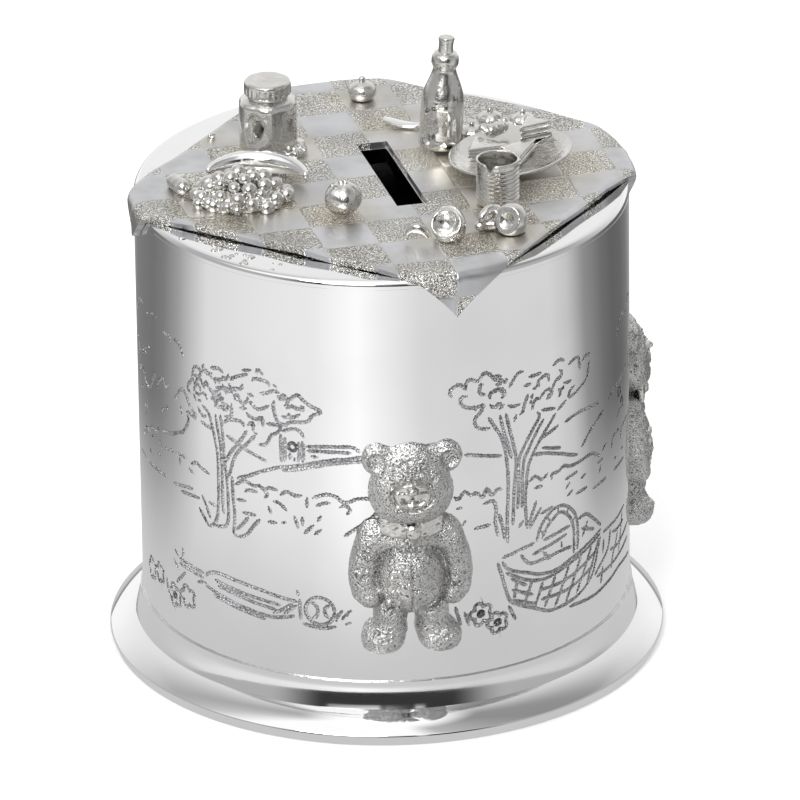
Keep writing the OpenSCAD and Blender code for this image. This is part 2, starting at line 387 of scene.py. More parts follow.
def makeCastGrain():
    group = bpy.data.node_groups.new("castGrain", "ShaderNodeTree")
    groupSockets(group, [
        ("Grain Size", "NodeSocketFloat", 1500.0),
        ("Grain Depth", "NodeSocketFloat", 0.4),
        ("Lump Depth", "NodeSocketFloat", 0.3),
        ("Roughness", "NodeSocketFloat", 0.3),
        ("Bright", "NodeSocketColor", (0.9, 0.9, 0.9, 1)),
        ("Hollow", "NodeSocketColor", (0.5, 0.5, 0.5, 1)),
    ], [("Color", "NodeSocketColor"), ("Roughness", "NodeSocketFloat"), ("Normal", "NodeSocketVector"),
        ("Grain", "NodeSocketFloat")])
    start = addNode(group, "NodeGroupInput")
    end = addNode(group, "NodeGroupOutput")
    place = addNode(group, "ShaderNodeTexCoord").outputs["Object"]
    lumps = noiseOf(group, place, 480.0, 3.0)
    grain = noiseOf(group, place, start.outputs["Grain Size"], 2.0, 0.6)
    grainStep = stepSmooth(group, grain, 0.32, 0.68)
    pits = stepSmooth(group, grain, 0.30, 0.46)
    stain = stepSmooth(group, noiseOf(group, place, 130.0, 3.0), 0.35, 0.7)
    bumpFine = addNode(group, "ShaderNodeBump")
    bumpFine.inputs["Distance"].default_value = 0.00026
    group.links.new(start.outputs["Grain Depth"], bumpFine.inputs["Strength"])
    group.links.new(maths(group, "ADD", maths(group, "MULTIPLY", pits, 0.65), maths(group, "MULTIPLY", grainStep, 0.35)),
                    bumpFine.inputs["Height"])
    bumpLump = addNode(group, "ShaderNodeBump")
    bumpLump.inputs["Distance"].default_value = 0.0005
    group.links.new(start.outputs["Lump Depth"], bumpLump.inputs["Strength"])
    group.links.new(lumps, bumpLump.inputs["Height"])
    group.links.new(bumpFine.outputs[0], bumpLump.inputs["Normal"])
    depth = maths(group, "MULTIPLY", maths(group, "SUBTRACT", 1.0, pits), start.outputs["Grain Depth"], clamp=True)
    dark = maths(group, "ADD", maths(group, "MULTIPLY", depth, 0.9), maths(group, "MULTIPLY", stain, 0.25), clamp=True)
    tone = addNode(group, "ShaderNodeMix", data_type="RGBA")
    group.links.new(dark, tone.inputs[0])
    group.links.new(start.outputs["Bright"], tone.inputs[6])
    group.links.new(start.outputs["Hollow"], tone.inputs[7])
    group.links.new(tone.outputs[2], end.inputs["Color"])
    group.links.new(maths(group, "MULTIPLY_ADD", dark, 0.2, start.outputs["Roughness"]), end.inputs["Roughness"])
    group.links.new(bumpLump.outputs[0], end.inputs["Normal"])
    group.links.new(grainStep, end.inputs["Grain"])
    return group


handledMetal = makeHandledMetal()
castGrain = makeCastGrain()


def metalFrom(name, group, values):
    mat = bpy.data.materials.new(name)
    mat.use_nodes = True
    tree = mat.node_tree
    skin = tree.nodes["Principled BSDF"]
    skin.inputs["Metallic"].default_value = 1.0
    effect = addNode(tree, "ShaderNodeGroup", (-300, 0), node_tree=group)
    for key, value in values.items():
        effect.inputs[key].default_value = value
    tree.links.new(effect.outputs["Color"], skin.inputs["Base Color"])
    tree.links.new(effect.outputs["Roughness"], skin.inputs["Roughness"])
    tree.links.new(effect.outputs["Normal"], skin.inputs["Normal"])
    return mat


polishedPewter = metalFrom("polishedPewter", handledMetal, {
    "Roughness": 0.055, "Smear": 0.05, "Scratch Depth": 0.08, "Dent Depth": 0.05,
    "Bright": (0.90, 0.90, 0.905, 1), "Dull": (0.86, 0.86, 0.865, 1)})
spunPewter = metalFrom("spunPewter", handledMetal, {
    "Roughness": 0.24, "Smear": 0.14, "Scratch Depth": 0.6, "Dent Depth": 0.1,
    "Bright": (0.72, 0.72, 0.72, 1), "Dull": (0.55, 0.55, 0.55, 1)})
engravedGroove = metalFrom("engravedGroove", castGrain, {
    "Grain Size": 3900.0, "Grain Depth": 0.8, "Lump Depth": 0.2, "Roughness": 0.38,
    "Bright": (0.72, 0.72, 0.73, 1), "Hollow": (0.10, 0.10, 0.105, 1)})
castPewter = metalFrom("castPewter", castGrain, {
    "Grain Size": 1500.0, "Grain Depth": 0.12, "Lump Depth": 0.30, "Roughness": 0.19,
    "Bright": (0.76, 0.75, 0.725, 1), "Hollow": (0.36, 0.35, 0.33, 1)})
furPewter = metalFrom("furPewter", castGrain, {
    "Grain Size": 2700.0, "Grain Depth": 0.80, "Lump Depth": 0.35, "Roughness": 0.23,
    "Bright": (0.72, 0.715, 0.705, 1), "Hollow": (0.09, 0.088, 0.085, 1)})


def makeClothPewter():
    mat = metalFrom("clothPewter", castGrain, {
        "Grain Size": 2700.0, "Grain Depth": 0.5, "Lump Depth": 0.07, "Roughness": 0.30,
        "Bright": (0.57, 0.57, 0.58, 1), "Hollow": (0.26, 0.25, 0.23, 1)})
    tree = mat.node_tree
    skin = tree.nodes["Principled BSDF"]
    effect = [n for n in tree.nodes if n.type == "GROUP"][0]
    flat = addNode(tree, "ShaderNodeUVMap", uv_map="flatCloth")
    wobble = addNode(tree, "ShaderNodeTexNoise")
    tree.links.new(flat.outputs[0], wobble.inputs["Vector"])
    wobble.inputs["Scale"].default_value = 2.5
    split = addNode(tree, "ShaderNodeSeparateXYZ")
    tree.links.new(flat.outputs[0], split.inputs[0])
    across = maths(tree, "MULTIPLY", split.outputs["X"], math.pi)
    along = maths(tree, "MULTIPLY", split.outputs["Y"], math.pi)
    checks = maths(tree, "MULTIPLY", maths(tree, "SINE", across), maths(tree, "SINE", along))
    checks = maths(tree, "ADD", checks, maths(tree, "MULTIPLY_ADD", wobble.outputs["Fac"], 0.10, -0.05))
    stippled = stepSmooth(tree, checks, -0.04, 0.05)
    edgeLine = maths(tree, "SUBTRACT", 1.0, stepSmooth(tree, maths(tree, "ABSOLUTE", checks), 0.0, 0.07))
    tree.links.new(mixNumbers(tree, stippled, 0.05, 1.3), effect.inputs["Grain Depth"])
    tree.links.new(mixNumbers(tree, stippled, 0.36, 0.16), effect.inputs["Roughness"])
    shade = addNode(tree, "ShaderNodeMix", data_type="RGBA")
    tree.links.new(stippled, shade.inputs[0])
    shade.inputs[6].default_value = (0.665, 0.67, 0.685, 1)
    place = addNode(tree, "ShaderNodeTexCoord").outputs["Object"]
    specks = stepSmooth(tree, noiseOf(tree, place, 2900.0, 1.5), 0.43, 0.57)
    stipple = addNode(tree, "ShaderNodeMix", data_type="RGBA")
    tree.links.new(specks, stipple.inputs[0])
    stipple.inputs[6].default_value = (0.50, 0.49, 0.465, 1)
    stipple.inputs[7].default_value = (1.0, 0.99, 0.94, 1)
    tree.links.new(stipple.outputs[2], shade.inputs[7])
    tree.links.new(shade.outputs[2], effect.inputs["Bright"])
    warm = addNode(tree, "ShaderNodeAttribute", attribute_name="warm")
    tint = addNode(tree, "ShaderNodeMix", data_type="RGBA", blend_type="MULTIPLY")
    tree.links.new(warm.outputs["Fac"], tint.inputs[0])
    tree.links.new(effect.outputs["Color"], tint.inputs[6])
    tint.inputs[7].default_value = (0.96, 0.90, 0.78, 1)
    tree.links.new(tint.outputs[2], skin.inputs["Base Color"])
    step = addNode(tree, "ShaderNodeBump")
    step.inputs["Distance"].default_value = 0.00012
    step.inputs["Strength"].default_value = 0.6
    tree.links.new(maths(tree, "SUBTRACT", maths(tree, "MULTIPLY", stippled, 0.6), edgeLine), step.inputs["Height"])
    tree.links.new(effect.outputs["Normal"], step.inputs["Normal"])
    tree.links.new(step.outputs[0], skin.inputs["Normal"])
    return mat


def makeBlackPlastic():
    mat = bpy.data.materials.new("blackPlastic")
    mat.use_nodes = True
    tree = mat.node_tree
    skin = tree.nodes["Principled BSDF"]
    place = addNode(tree, "ShaderNodeTexCoord").outputs["Object"]
    cloud = noiseOf(tree, place, 90.0, 4.0)
    fine = noiseOf(tree, place, 2600.0, 2.0)
    tree.links.new(rampOf(tree, cloud, [(0.3, (0.018, 0.018, 0.020)), (0.75, (0.034, 0.034, 0.036))]),
                   skin.inputs["Base Color"])
    tree.links.new(maths(tree, "MULTIPLY_ADD", cloud, 0.25, 0.32), skin.inputs["Roughness"])
    bump = addNode(tree, "ShaderNodeBump")
    bump.inputs["Distance"].default_value = 0.00005
    bump.inputs["Strength"].default_value = 0.4
    tree.links.new(fine, bump.inputs["Height"])
    tree.links.new(bump.outputs[0], skin.inputs["Normal"])
    return mat


clothPewter = makeClothPewter()
blackPlastic = makeBlackPlastic()
print("finishes ready")


# shaping helpers
def pieceFrom(bm, name, materials, body="bank", replaces=(), sharp=38, smooth=True):
    for face in bm.faces:
        face.smooth = smooth
    for edge in bm.edges:
        if len(edge.link_faces) == 2 and edge.calc_face_angle(0.0) > math.radians(sharp):
            edge.smooth = False
    mesh = bpy.data.meshes.new(name)
    bm.to_mesh(mesh)
    bm.free()
    for mat in materials:
        mesh.materials.append(mat)
    obj = bpy.data.objects.new(name, mesh)
    bpy.context.scene.collection.objects.link(obj)
    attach(obj, body)
    if replaces:
        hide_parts(*replaces)
    return obj


def arcPoints(centre, radius, start, end, steps):
    points = []
    for i in range(steps + 1):
        a = math.radians(start + (end - start) * i / steps)
        points.append((centre[0] + radius * math.cos(a), centre[1] + radius * math.sin(a)))
    return points


# the same profile with points close enough together to shape afterwards
def denser(profile, step):
    points = [profile[0]]
    for a, b in zip(profile, profile[1:]):
        count = max(1, int(math.dist(a, b) / step))
        points += [(a[0] + (b[0] - a[0]) * i / count, a[1] + (b[1] - a[1]) * i / count) for i in range(1, count + 1)]
    return points


# a turned piece: the profile is (radius, height) in millimetres, from the bottom up
def turned(bm, profile, steps=96, place=(0, 0, 0), closed=False):
    verts = [bm.verts.new((mm(r), 0, mm(z))) for r, z in profile]
    edges = [bm.edges.new(pair) for pair in zip(verts, verts[1:])]
    if closed:
        edges.append(bm.edges.new((verts[-1], verts[0])))
    made = bmesh.ops.spin(bm, geom=verts + edges, cent=(0, 0, 0), axis=(0, 0, 1), angle=2 * math.pi,
                          steps=steps, use_merge=True)
    bmesh.ops.remove_doubles(bm, verts=bm.verts, dist=0.000002)
    loose = [f for f in bm.faces if f.calc_area() < 1e-14]
    bmesh.ops.delete(bm, geom=loose, context="FACES_ONLY")
    bmesh.ops.recalc_face_normals(bm, faces=bm.faces)
    bmesh.ops.translate(bm, verts=bm.verts, vec=place)
    return made


def meshOf(obj):
    graph = bpy.context.evaluated_depsgraph_get()
    return bpy.data.meshes.new_from_object(obj.evaluated_get(graph))


def scratchObject(bm, name, materials=()):
    mesh = bpy.data.meshes.new(name)
    bm.to_mesh(mesh)
    bm.free()
    for mat in materials:
        mesh.materials.append(mat)
    obj = bpy.data.objects.new(name, mesh)
    bpy.context.scene.collection.objects.link(obj)
    return obj


def cutWith(obj, cutter, again=True):
    tool = obj.modifiers.new("cut", "BOOLEAN")
    tool.object = cutter
    tool.operation = "DIFFERENCE"
    tool.solver = "MANIFOLD"
    before = len(obj.data.polygons)
    result = meshOf(obj)
    if again and len(result.polygons) < 0.2 * before:
        tool.solver = "EXACT"
        result = meshOf(obj)
    obj.modifiers.clear()
    obj.data = result
    bpy.data.objects.remove(cutter)
    return obj


# engraving: each stroke is drawn as (turn in degrees, height in mm above the foot) points
engraving = {"halfWidth": 0.42, "depthShift": 0.08, "step": 0.32, "tremble": 0.06, "taper": 0.6, "beat": 0.2,
             "seed": 3, "turn": -14.5, "perCut": 80}

farTrees = [
    [(-82, 57.5), (-79, 60), (-75, 60.8)], [(-71.5, 59.9), (-69, 60.7), (-65, 61)],
    [(-62, 59.2), (-59, 59.3), (-58.3, 58.3)], [(-57, 58.9), (-55.5, 59.3), (-54, 58.3), (-53, 56.7)],
    [(-76, 50.5), (-74, 52.3), (-73, 51.3)], [(-75, 47.3), (-74, 45.5), (-71, 45.3), (-69, 47), (-66.5, 49.3)],
    [(-65.6, 46.8), (-65, 48.3), (-62.5, 49.8), (-61.5, 48.6), (-59, 49.2)], [(-63.3, 43.1), (-60.2, 44.8)],
    [(-78.5, 43), (-75, 44)], [(-75.5, 40.5), (-73, 40.5)], [(-75, 38.9), (-73, 39.3)],
    [(-57, 47.2), (-55.5, 48.8), (-53.5, 50.3), (-52, 49.2), (-51, 47.8), (-49.3, 46.8), (-49, 45.7),
     (-51.8, 46.3), (-51.5, 44.5), (-53.5, 42), (-55, 41.3), (-59, 39.9), (-65, 38.8), (-67, 37.6),
     (-69, 38), (-72, 36.3), (-77, 34)], [(-54.5, 46.7), (-54, 44.9)]]
leftHedge = [
    [(-75, 36), (-72, 36.5)], [(-70, 35.7), (-67, 36.8)], [(-65, 36.8), (-63.5, 35.2)], [(-62, 36), (-58, 36.7)],
    [(-57, 36.8), (-52.8, 36.8)], [(-55.3, 36.2), (-55.2, 34.8)], [(-51.8, 35.1), (-50, 34.4)],
    [(-51, 36.1), (-49, 36.9), (-47, 36.3), (-44.5, 35.8)], [(-66, 33.8), (-64.5, 33.6)], [(-72, 33), (-70, 32)],
    [(-80, 29.7), (-75, 29.6)], [(-73, 29.8), (-61.5, 30.5)], [(-58.3, 30.2), (-50.3, 31.4)],
    [(-55, 29.6), (-48, 30.1)], [(-36.7, 35.6), (-34, 36.8), (-31.5, 36.3), (-30, 36.6), (-28, 35.3), (-28.8, 34.4)],
    [(-34, 34.6), (-33, 35.2), (-30.5, 35.3)], [(-29, 35.8), (-27.5, 36.6), (-25.2, 36.5)],
    [(-24.7, 35.6), (-23, 36.5), (-21, 36), (-19.2, 36.3)], [(-18, 36), (-18.1, 33.9)],
    [(-16.8, 35.9), (-15, 36.6), (-13, 37), (-11, 36.6), (-10, 35.8), (-8.5, 35.7), (-6, 36.5), (-2, 36.5)],
    [(-16, 34.5), (-14, 35.2), (-12.5, 35.3)], [(-10.5, 34.6), (-9, 35), (-8, 34.2), (-8.8, 33.2)],
    [(-26.5, 34.1), (-25, 34), (-23, 32.7)], [(-27.8, 33), (-27, 31.5)], [(-36.4, 32.7), (-33.7, 32.9)],
    [(-28, 29.8), (-25.5, 30)], [(-24.5, 30.1), (-23.2, 30.4)], [(-21.3, 32), (-20.7, 30.7), (-20.2, 29.5)],
    [(-19.3, 32), (-19.2, 30.2)], [(-16.5, 30.7), (-18.9, 28.7)], [(-14.7, 32.7), (-15.7, 31.4)],
    [(-14.7, 30), (-16.5, 28.7)], [(-9.5, 28.9), (-6.5, 30.7), (-3.5, 32.5), (-1, 34.5)]]
leftTrunk = [
    [(-46.5, 49), (-44.5, 48), (-43.3, 45.5), (-42.3, 42.5), (-41.8, 40), (-41.7, 36), (-41.8, 31),
     (-42.3, 28), (-43.3, 26.2), (-45, 25.3)],
    [(-42.2, 48.3), (-41.7, 46), (-41, 43), (-40.6, 40), (-40.5, 36), (-40.5, 31), (-40.2, 29)],
    [(-40.7, 48.5), (-40.2, 45.5), (-39.7, 40), (-39.1, 36), (-38.8, 31), (-39, 28), (-40, 26.5), (-43, 26)],
    [(-38.5, 36.5), (-37.8, 38.5), (-37, 40.5), (-35.5, 42.5), (-33.5, 44), (-30.8, 46.5)],
    [(-39.3, 39.5), (-38, 41.5), (-36, 43.5), (-34.2, 45.5), (-33, 47)],
    [(-37.5, 37), (-37.4, 33), (-37, 29.5), (-37.3, 26), (-36.3, 25.2)],
    [(-36.3, 25.2), (-34, 26), (-32.5, 27.5), (-30, 30)], [(-36.6, 26.6), (-35, 27.9), (-33, 29.8)],
    [(-34.8, 30.4), (-31, 30.6)], [(-48.3, 28.2), (-46.7, 26.8), (-45, 25.3)],
    [(-47.2, 31), (-46, 29.5), (-44.5, 27)], [(-45, 30.2), (-42.4, 30)]]
leftCrown = [
    [(-50.5, 50.3), (-51.5, 51), (-51.3, 52), (-49.8, 53.4), (-49.2, 55.5), (-48, 56.2), (-46, 55.5)],
    [(-45.8, 56.6), (-44, 55.9), (-43, 55)],
    [(-49.3, 51), (-48, 53.7), (-46.8, 53.9), (-45.8, 52.8), (-45, 54), (-44, 53), (-43, 52.4), (-41.2, 53), (-40.3, 52.3)],
    [(-42, 53.6), (-40, 54), (-38, 54.3)], [(-40.8, 55.7), (-38.5, 55.8)],
    [(-40, 54.8), (-38.5, 53.6), (-36.5, 54.6), (-34.5, 55), (-34, 56)], [(-37.5, 56), (-36, 57), (-32.5, 58.2)],
    [(-34.2, 58.6), (-31.5, 59.2)], [(-30.5, 58.8), (-29.7, 59.6), (-28.5, 58.7)],
    [(-31.5, 57), (-30.5, 57.7), (-27.5, 57.5), (-26.8, 56.7)], [(-26, 57.3), (-25, 56.8)],
    [(-29.5, 55), (-28, 55.2), (-26, 56), (-24.3, 55.8)],
    [(-25, 55.1), (-22, 54.9), (-21, 55.5), (-19.8, 56), (-18.8, 55.2), (-17, 54.2), (-15, 53.5), (-14.5, 53),
     (-16.5, 52.3), (-17.3, 51.2), (-19, 50.7), (-22, 50.4), (-23, 49.7), (-25, 50.2), (-26, 52.8), (-25.7, 54.2)],
    [(-22.8, 53), (-21.5, 53.5), (-18.3, 53)], [(-23, 51.3), (-21, 51.5), (-19.3, 52.3)],
    [(-36.8, 53), (-35.8, 53.5), (-35, 52.6), (-34, 52), (-32.5, 53), (-31, 52), (-29.5, 51.8), (-27, 53)],
    [(-35, 51.1), (-33, 51.4)], [(-37.3, 51.5), (-37.3, 50), (-37.7, 48.7), (-39.5, 48.5)],
    [(-42.5, 50.8), (-41.5, 49.8), (-39.5, 50.6)],
    [(-33.2, 50.6), (-32.5, 50), (-30.5, 49.7), (-29, 50.3), (-28.8, 48.5)],
    [(-27.9, 49.3), (-24.5, 49.3), (-24.7, 48.3), (-26.8, 47), (-27.5, 45.8), (-28.5, 45), (-30, 44.8)],
    [(-39.8, 47), (-38.5, 48), (-36.5, 48.4), (-34.5, 48.4), (-33.9, 47.5)],
    [(-33, 48), (-31.5, 48.8), (-31.3, 47.5), (-30.3, 46.7)], [(-49.5, 50.5), (-48.5, 49.3)],
    [(-48, 49.7), (-46.7, 49.8)], [(-48, 48.3), (-47, 47.3), (-46, 46.9), (-45.2, 47.4)],
    [(-47, 51.2), (-45.5, 51.5), (-44.8, 50.4)], [(-32.8, 54.4), (-31, 54.1)], [(-43.6, 57.1), (-41, 57.6), (-39.5, 57)]]
hills = [
    [(-47.2, 45.7), (-43.4, 45)], [(-39, 44.8), (-36, 44), (-33, 43), (-27.8, 41.8)],
    [(-36.2, 36.9), (-33, 38), (-30, 39.3), (-27, 40.4), (-24, 41.3), (-20, 42), (-16, 43), (-12, 43.8), (-8, 44.3), (-5, 44.8)],
    [(-24, 40.6), (-20, 41.3), (-16, 42.3), (-12, 43.1), (-8, 43.6), (-3, 44.2)],
    [(-24.2, 42.2), (-24.3, 47.8)], [(-23.3, 42.4), (-23.2, 47.3)],
    [(-24, 48.3), (-22, 49), (-20.5, 49.2), (-19.3, 48.7), (-18.6, 47.6)],
    [(-19, 47), (-18.7, 45), (-19, 42.8)], [(-19.9, 46.8), (-19.6, 45.5), (-20, 42.6)],
    [(-22, 44.4), (-22, 43)], [(-20.9, 43.6), (-21, 42.8)],
    [(-18.2, 46), (-15, 46.3), (-7.5, 46.6), (-5.5, 45.6)], [(-18, 45.2), (-14, 45.4), (-7.5, 45.5)],
    [(-17, 44.3), (-15.2, 44.1)], [(18.5, 44), (28, 42.3)], [(39, 43.5), (44.3, 44.8)],
    [(46.2, 44.9), (52, 45.4), (59.8, 44.8)], [(36.5, 40.8), (40, 40.3), (45, 38.9), (48, 37.9), (51, 37.1)],
    [(39, 41.6), (45, 40.1)], [(52.3, 38.2), (56, 40.5), (62, 42.7)], [(64.5, 43.9), (69, 44.9), (79, 46.2)],
    [(69.8, 54.8), (71.5, 56.9), (74, 57.8), (76.5, 56.7), (79, 57), (81, 58.8), (84, 58.4)]]
cricket = [
    [(-59, 14.9), (-56.8, 13.2)], [(-58.5, 16.9), (-56.9, 15.9)], [(-55, 18.2), (-54.9, 17), (-55.3, 16.3)],
    [(-56.5, 15.7), (-47, 15.3)], [(-56.5, 14.7), (-47.2, 14.35)], [(-58, 10.3), (-56.5, 11.5), (-54, 13.5)],
    [(-46.5, 14.9), (-45.5, 15.8), (-43, 16.5), (-40, 16.5), (-35, 16.2), (-30, 15.8), (-25, 15.2), (-20.8, 14.9)],
    [(-46.7, 13.7), (-46, 13), (-44, 12.6), (-40, 12), (-36, 11.5), (-28, 10.9), (-24, 11.4), (-21.5, 12)],
    [(-44, 11.8), (-40, 11.3), (-36, 10.8), (-29, 10.2)],
    [(-43.5, 15), (-40, 14.6), (-35, 14.2), (-25, 13.6)], [(-42.5, 14), (-38, 13.6), (-32, 13), (-26, 12.5)],
    [(-47, 13.6), (-48.5, 13.2), (-49.5, 12.9)], [(-27, 11.7), (-24, 13.1), (-22, 14.3)],
    [(-24.3, 11.9), (-21, 14.2)], [(-20.3, 15.5), (-20, 11.3)], [(-19.6, 10.7), (-15, 10.2), (-11.5, 10.8)],
    [(-20.9, 17.2), (-20.4, 16.1)],
    [(-18.0, 15.2), (-16.9, 15), (-15.9, 14), (-16.2, 12.6), (-17.3, 12)],
    [(-12.9, 15.1), (-14.2, 14.2), (-14, 12.9), (-12.9, 12.3)],
    [(-11.6, 11.8), (-11.1, 12.9), (-10, 14.2)], [(-10.3, 12.2), (-8, 14.3)], [(-9.5, 11.3), (-8, 11.8)],
    [(-62.7, 9.7), (-62.2, 7)]]
rightCrown = [
    [(15.8, 55.6), (15.2, 56.3), (15.7, 57.3), (17.5, 57.9), (19, 56.8), (19, 57.7), (20, 58.6), (22, 58),
     (23.5, 59.3), (25, 58.8), (26.3, 57.6), (28, 57.2), (29.3, 56.6)], [(29.9, 55.4), (31, 56.7), (32.5, 57.8), (33.9, 57.8)],
    [(35.2, 56.4), (39, 56.4)], [(38.5, 53.8), (38, 54.9), (40, 55.7), (41, 55.3), (41.2, 54.1)],
    [(33.8, 54.9), (36, 55)],
    [(19.5, 55.4), (18, 55.3), (17.8, 54.2), (18.8, 53.3), (21, 52.9), (23.3, 53.1), (22.6, 51.8), (21.3, 50.8),
     (21.2, 49.8), (22.2, 48.7), (24, 48.3), (25, 48.4)], [(23, 57), (22.3, 56.2), (22.8, 55.3), (24, 55.1)],
    [(25, 54), (25, 55), (26.5, 55.6), (28, 55.5), (28.8, 54.3), (27.7, 53.7)], [(27.2, 51.6), (28.7, 52.4)],
    [(29.5, 52), (31, 51.5), (33, 51.6)], [(35, 52.9), (34, 51.2), (33.6, 50), (32.6, 49.5)],
    [(37.5, 52), (36.5, 50.8), (36.3, 49.6)], [(38.5, 51.5), (40, 52.5), (41.4, 52.8)],
    [(42, 51), (42.3, 52.5), (43.2, 53.7), (44.8, 54.5)], [(45.8, 52.8), (47, 52.5), (48.7, 52.5)],
    [(47.5, 55.8), (49.5, 56.4), (51.2, 56.2), (51.8, 53.7)],
    [(55.5, 54.4), (55, 53), (54.5, 51.3), (52, 50.3), (49.8, 49.6), (47.7, 49.5), (48.3, 50.7), (49.8, 51.2)],
    [(43.8, 47.8), (46.8, 49.1)], [(52.6, 55.2), (54.4, 55.9), (56, 55.3)], [(42.4, 56.9), (44.5, 57.6), (46.3, 57)]]
rightTrunk = [
    [(24.5, 50.5), (26, 48.5), (27.5, 46.5), (28.6, 44), (29.2, 41), (29.5, 38), (29.5, 34), (29.2, 30), (29.3, 24.7)],
    [(27.5, 50.5), (28.3, 47.5), (29.5, 44.3), (30.5, 41.3)],
    [(29, 50.5), (30, 47), (31, 44), (31.6, 41.5), (31.5, 38), (31, 34), (30.7, 28)],
    [(31.8, 49.8), (31.2, 48.4)],
    [(37.6, 49), (38.3, 48), (36.5, 46), (34.5, 43.8), (33, 41.8), (32.3, 40), (32.3, 36), (32, 31)],
    [(43.3, 47.4), (41, 45.5), (39, 43.8), (37, 41.8), (35.5, 39.8), (34.8, 38), (34.4, 35), (34.1, 32), (34.5, 26.9)],
    [(38.9, 49.1), (43.3, 48.4)], [(39.6, 47.2), (37, 44.6), (35, 42), (33.6, 39.5), (33.2, 31)],
    [(34.5, 26.5), (36, 29), (37.3, 31.5)], [(35.3, 26.4), (38.7, 29.9)], [(32.3, 27.2), (33.6, 28.5)],
    [(38.5, 28.6), (42.3, 29.1)], [(23, 33.6), (25.5, 33.8), (26.3, 32), (26.1, 29.5), (26.8, 26.5)],
    [(27, 31), (27.9, 28.5), (28.6, 25.6)]]
rightHedge = [
    [(15.9, 36), (17, 35.4), (18.5, 36.7), (20, 35.8), (21.5, 36), (23, 35), (24, 36.5), (25.3, 35), (26.8, 36), (28, 35.5)],
    [(35.2, 35.7), (37, 36.4), (39, 35.3), (40.8, 36.2)], [(42, 34.5), (42, 35.7), (44, 35.6), (46, 36.2), (49, 35.5), (56, 35.7), (58, 35), (60.3, 34)],
    [(61.2, 34.7), (63.5, 35.5)], [(66.5, 33.4), (67, 35), (69, 35.8), (71.7, 35.4)], [(73.3, 33), (73.5, 35), (80, 35.5)],
    [(16.5, 33.5), (18, 33.6)], [(18, 30), (18.8, 31)], [(20.7, 29), (25, 29.2)], [(36.7, 34.1), (39.2, 34)],
    [(46.3, 33.4), (50.8, 33.8)], [(46.5, 31.5), (48, 32.4)], [(47, 29.9), (49, 30.6)], [(50, 29.5), (54.5, 29.6)],
    [(59, 32.9), (61.8, 33)], [(59.7, 30.6), (60.8, 32)], [(56.8, 28.5), (63.2, 28.7)], [(67.8, 28.6), (75.5, 28.5)],
    [(68, 30.9), (69.5, 30.5)], [(73, 31.1), (75.3, 30.8)], [(52, 32), (54, 32.4)], [(70, 38.5), (73, 39.5), (76, 39)]]
basket = [
    [(27.8, 22), (33, 22.8), (36.7, 23.2)], [(39.3, 23.1), (47, 23.7), (48, 23.6)],
    [(27.8, 21.3), (29, 19.8), (31, 18.8), (35, 17.6), (38.3, 16.6), (43, 16.2), (48, 17), (53, 17.8), (60.5, 19.2)],
    [(28.7, 18.9), (34, 16.5), (38.5, 15.4), (43, 15.5), (48, 16.2), (53, 17), (60.3, 18.4)],
    [(50.9, 24.2), (54, 24.3), (57, 22.5), (60.6, 19.9)],
    [(26.6, 21.3), (27.7, 18.5), (28.7, 15.5), (30, 13), (33, 11.5), (37, 10), (41.5, 8.5), (48, 8.6), (53, 9.6),
     (56.5, 11.3), (58, 13.5), (60.3, 17.8)],
    [(37.3, 23.3), (38.2, 25.5), (40, 27.3), (42.5, 28.5), (45.5, 28.5), (48, 27.2), (50, 25.2), (50.8, 22), (50.6, 18.2)],
    [(38.9, 23.5), (40.3, 25.3), (42.3, 26.6), (44.5, 27.4), (47, 26.2), (48.6, 24.5), (49.3, 22), (49.3, 17.8)],
    [(38.4, 25.2), (39.4, 24.6)], [(40.6, 27.4), (41.4, 26.4)], [(44, 28.4), (44, 27.5)], [(47.3, 27.4), (46.8, 26.4)],
    [(49.8, 25), (49, 24.4)], [(50.7, 21.8), (49.4, 21.5)],
    [(36, 21), (46.8, 22.4)], [(32.8, 21.7), (34, 20.3), (36.5, 19.3), (45, 19.6), (48.6, 19.4)],
    [(39.2, 20.8), (41.5, 18.6)], [(45, 21.4), (45.1, 20.2)], [(52, 22), (57.5, 20.2)], [(52.5, 20.2), (54.6, 22.8)],
    [(30, 17.5), (34.5, 15.2)], [(30.3, 15.2), (36.3, 12.9)], [(31, 13), (37, 10.9)], [(32, 17.6), (30.8, 12.9)],
    [(36, 15.9), (33.7, 11.6)], [(39.2, 15), (36.7, 10.4)], [(43, 15.2), (39.6, 9.6)], [(47.6, 15.9), (42.8, 8.9)],
    [(52, 16.6), (46.4, 8.9)], [(56.2, 17.2), (50.2, 9.4)], [(59.4, 17.7), (54.2, 10.3)],
    [(38.3, 13.4), (47, 13.4), (58.5, 15.6)], [(38.5, 11.4), (48, 11.3), (56.9, 13.1)],
    [(29.4, 12.2), (31.3, 9)], [(16, 14.1), (17.3, 10.2)], [(18.2, 12.8), (19.4, 9.8)],
    [(61.6, 18.2), (66, 18.2), (71, 18.3), (76, 18.8)], [(65.6, 17.4), (65.1, 15.8), (64, 13.9), (60, 12), (57.6, 10.8)],
    [(66.6, 16.6), (70, 16), (75, 16.2)], [(65.4, 13.4), (70, 12.8), (80, 13.8)], [(58.4, 10.2), (66, 10.2), (80, 11)],
    [(70.5, 15.4), (69, 13.6), (67.3, 12), (66, 9.3)], [(47.5, 7.6), (57, 6.9), (65, 7.4), (72, 8), (82, 7)],
    [(74, 18), (73, 15), (71, 11)], [(62, 16.8), (61.5, 14)], [(61.5, 11.4), (60.4, 8.2)]]
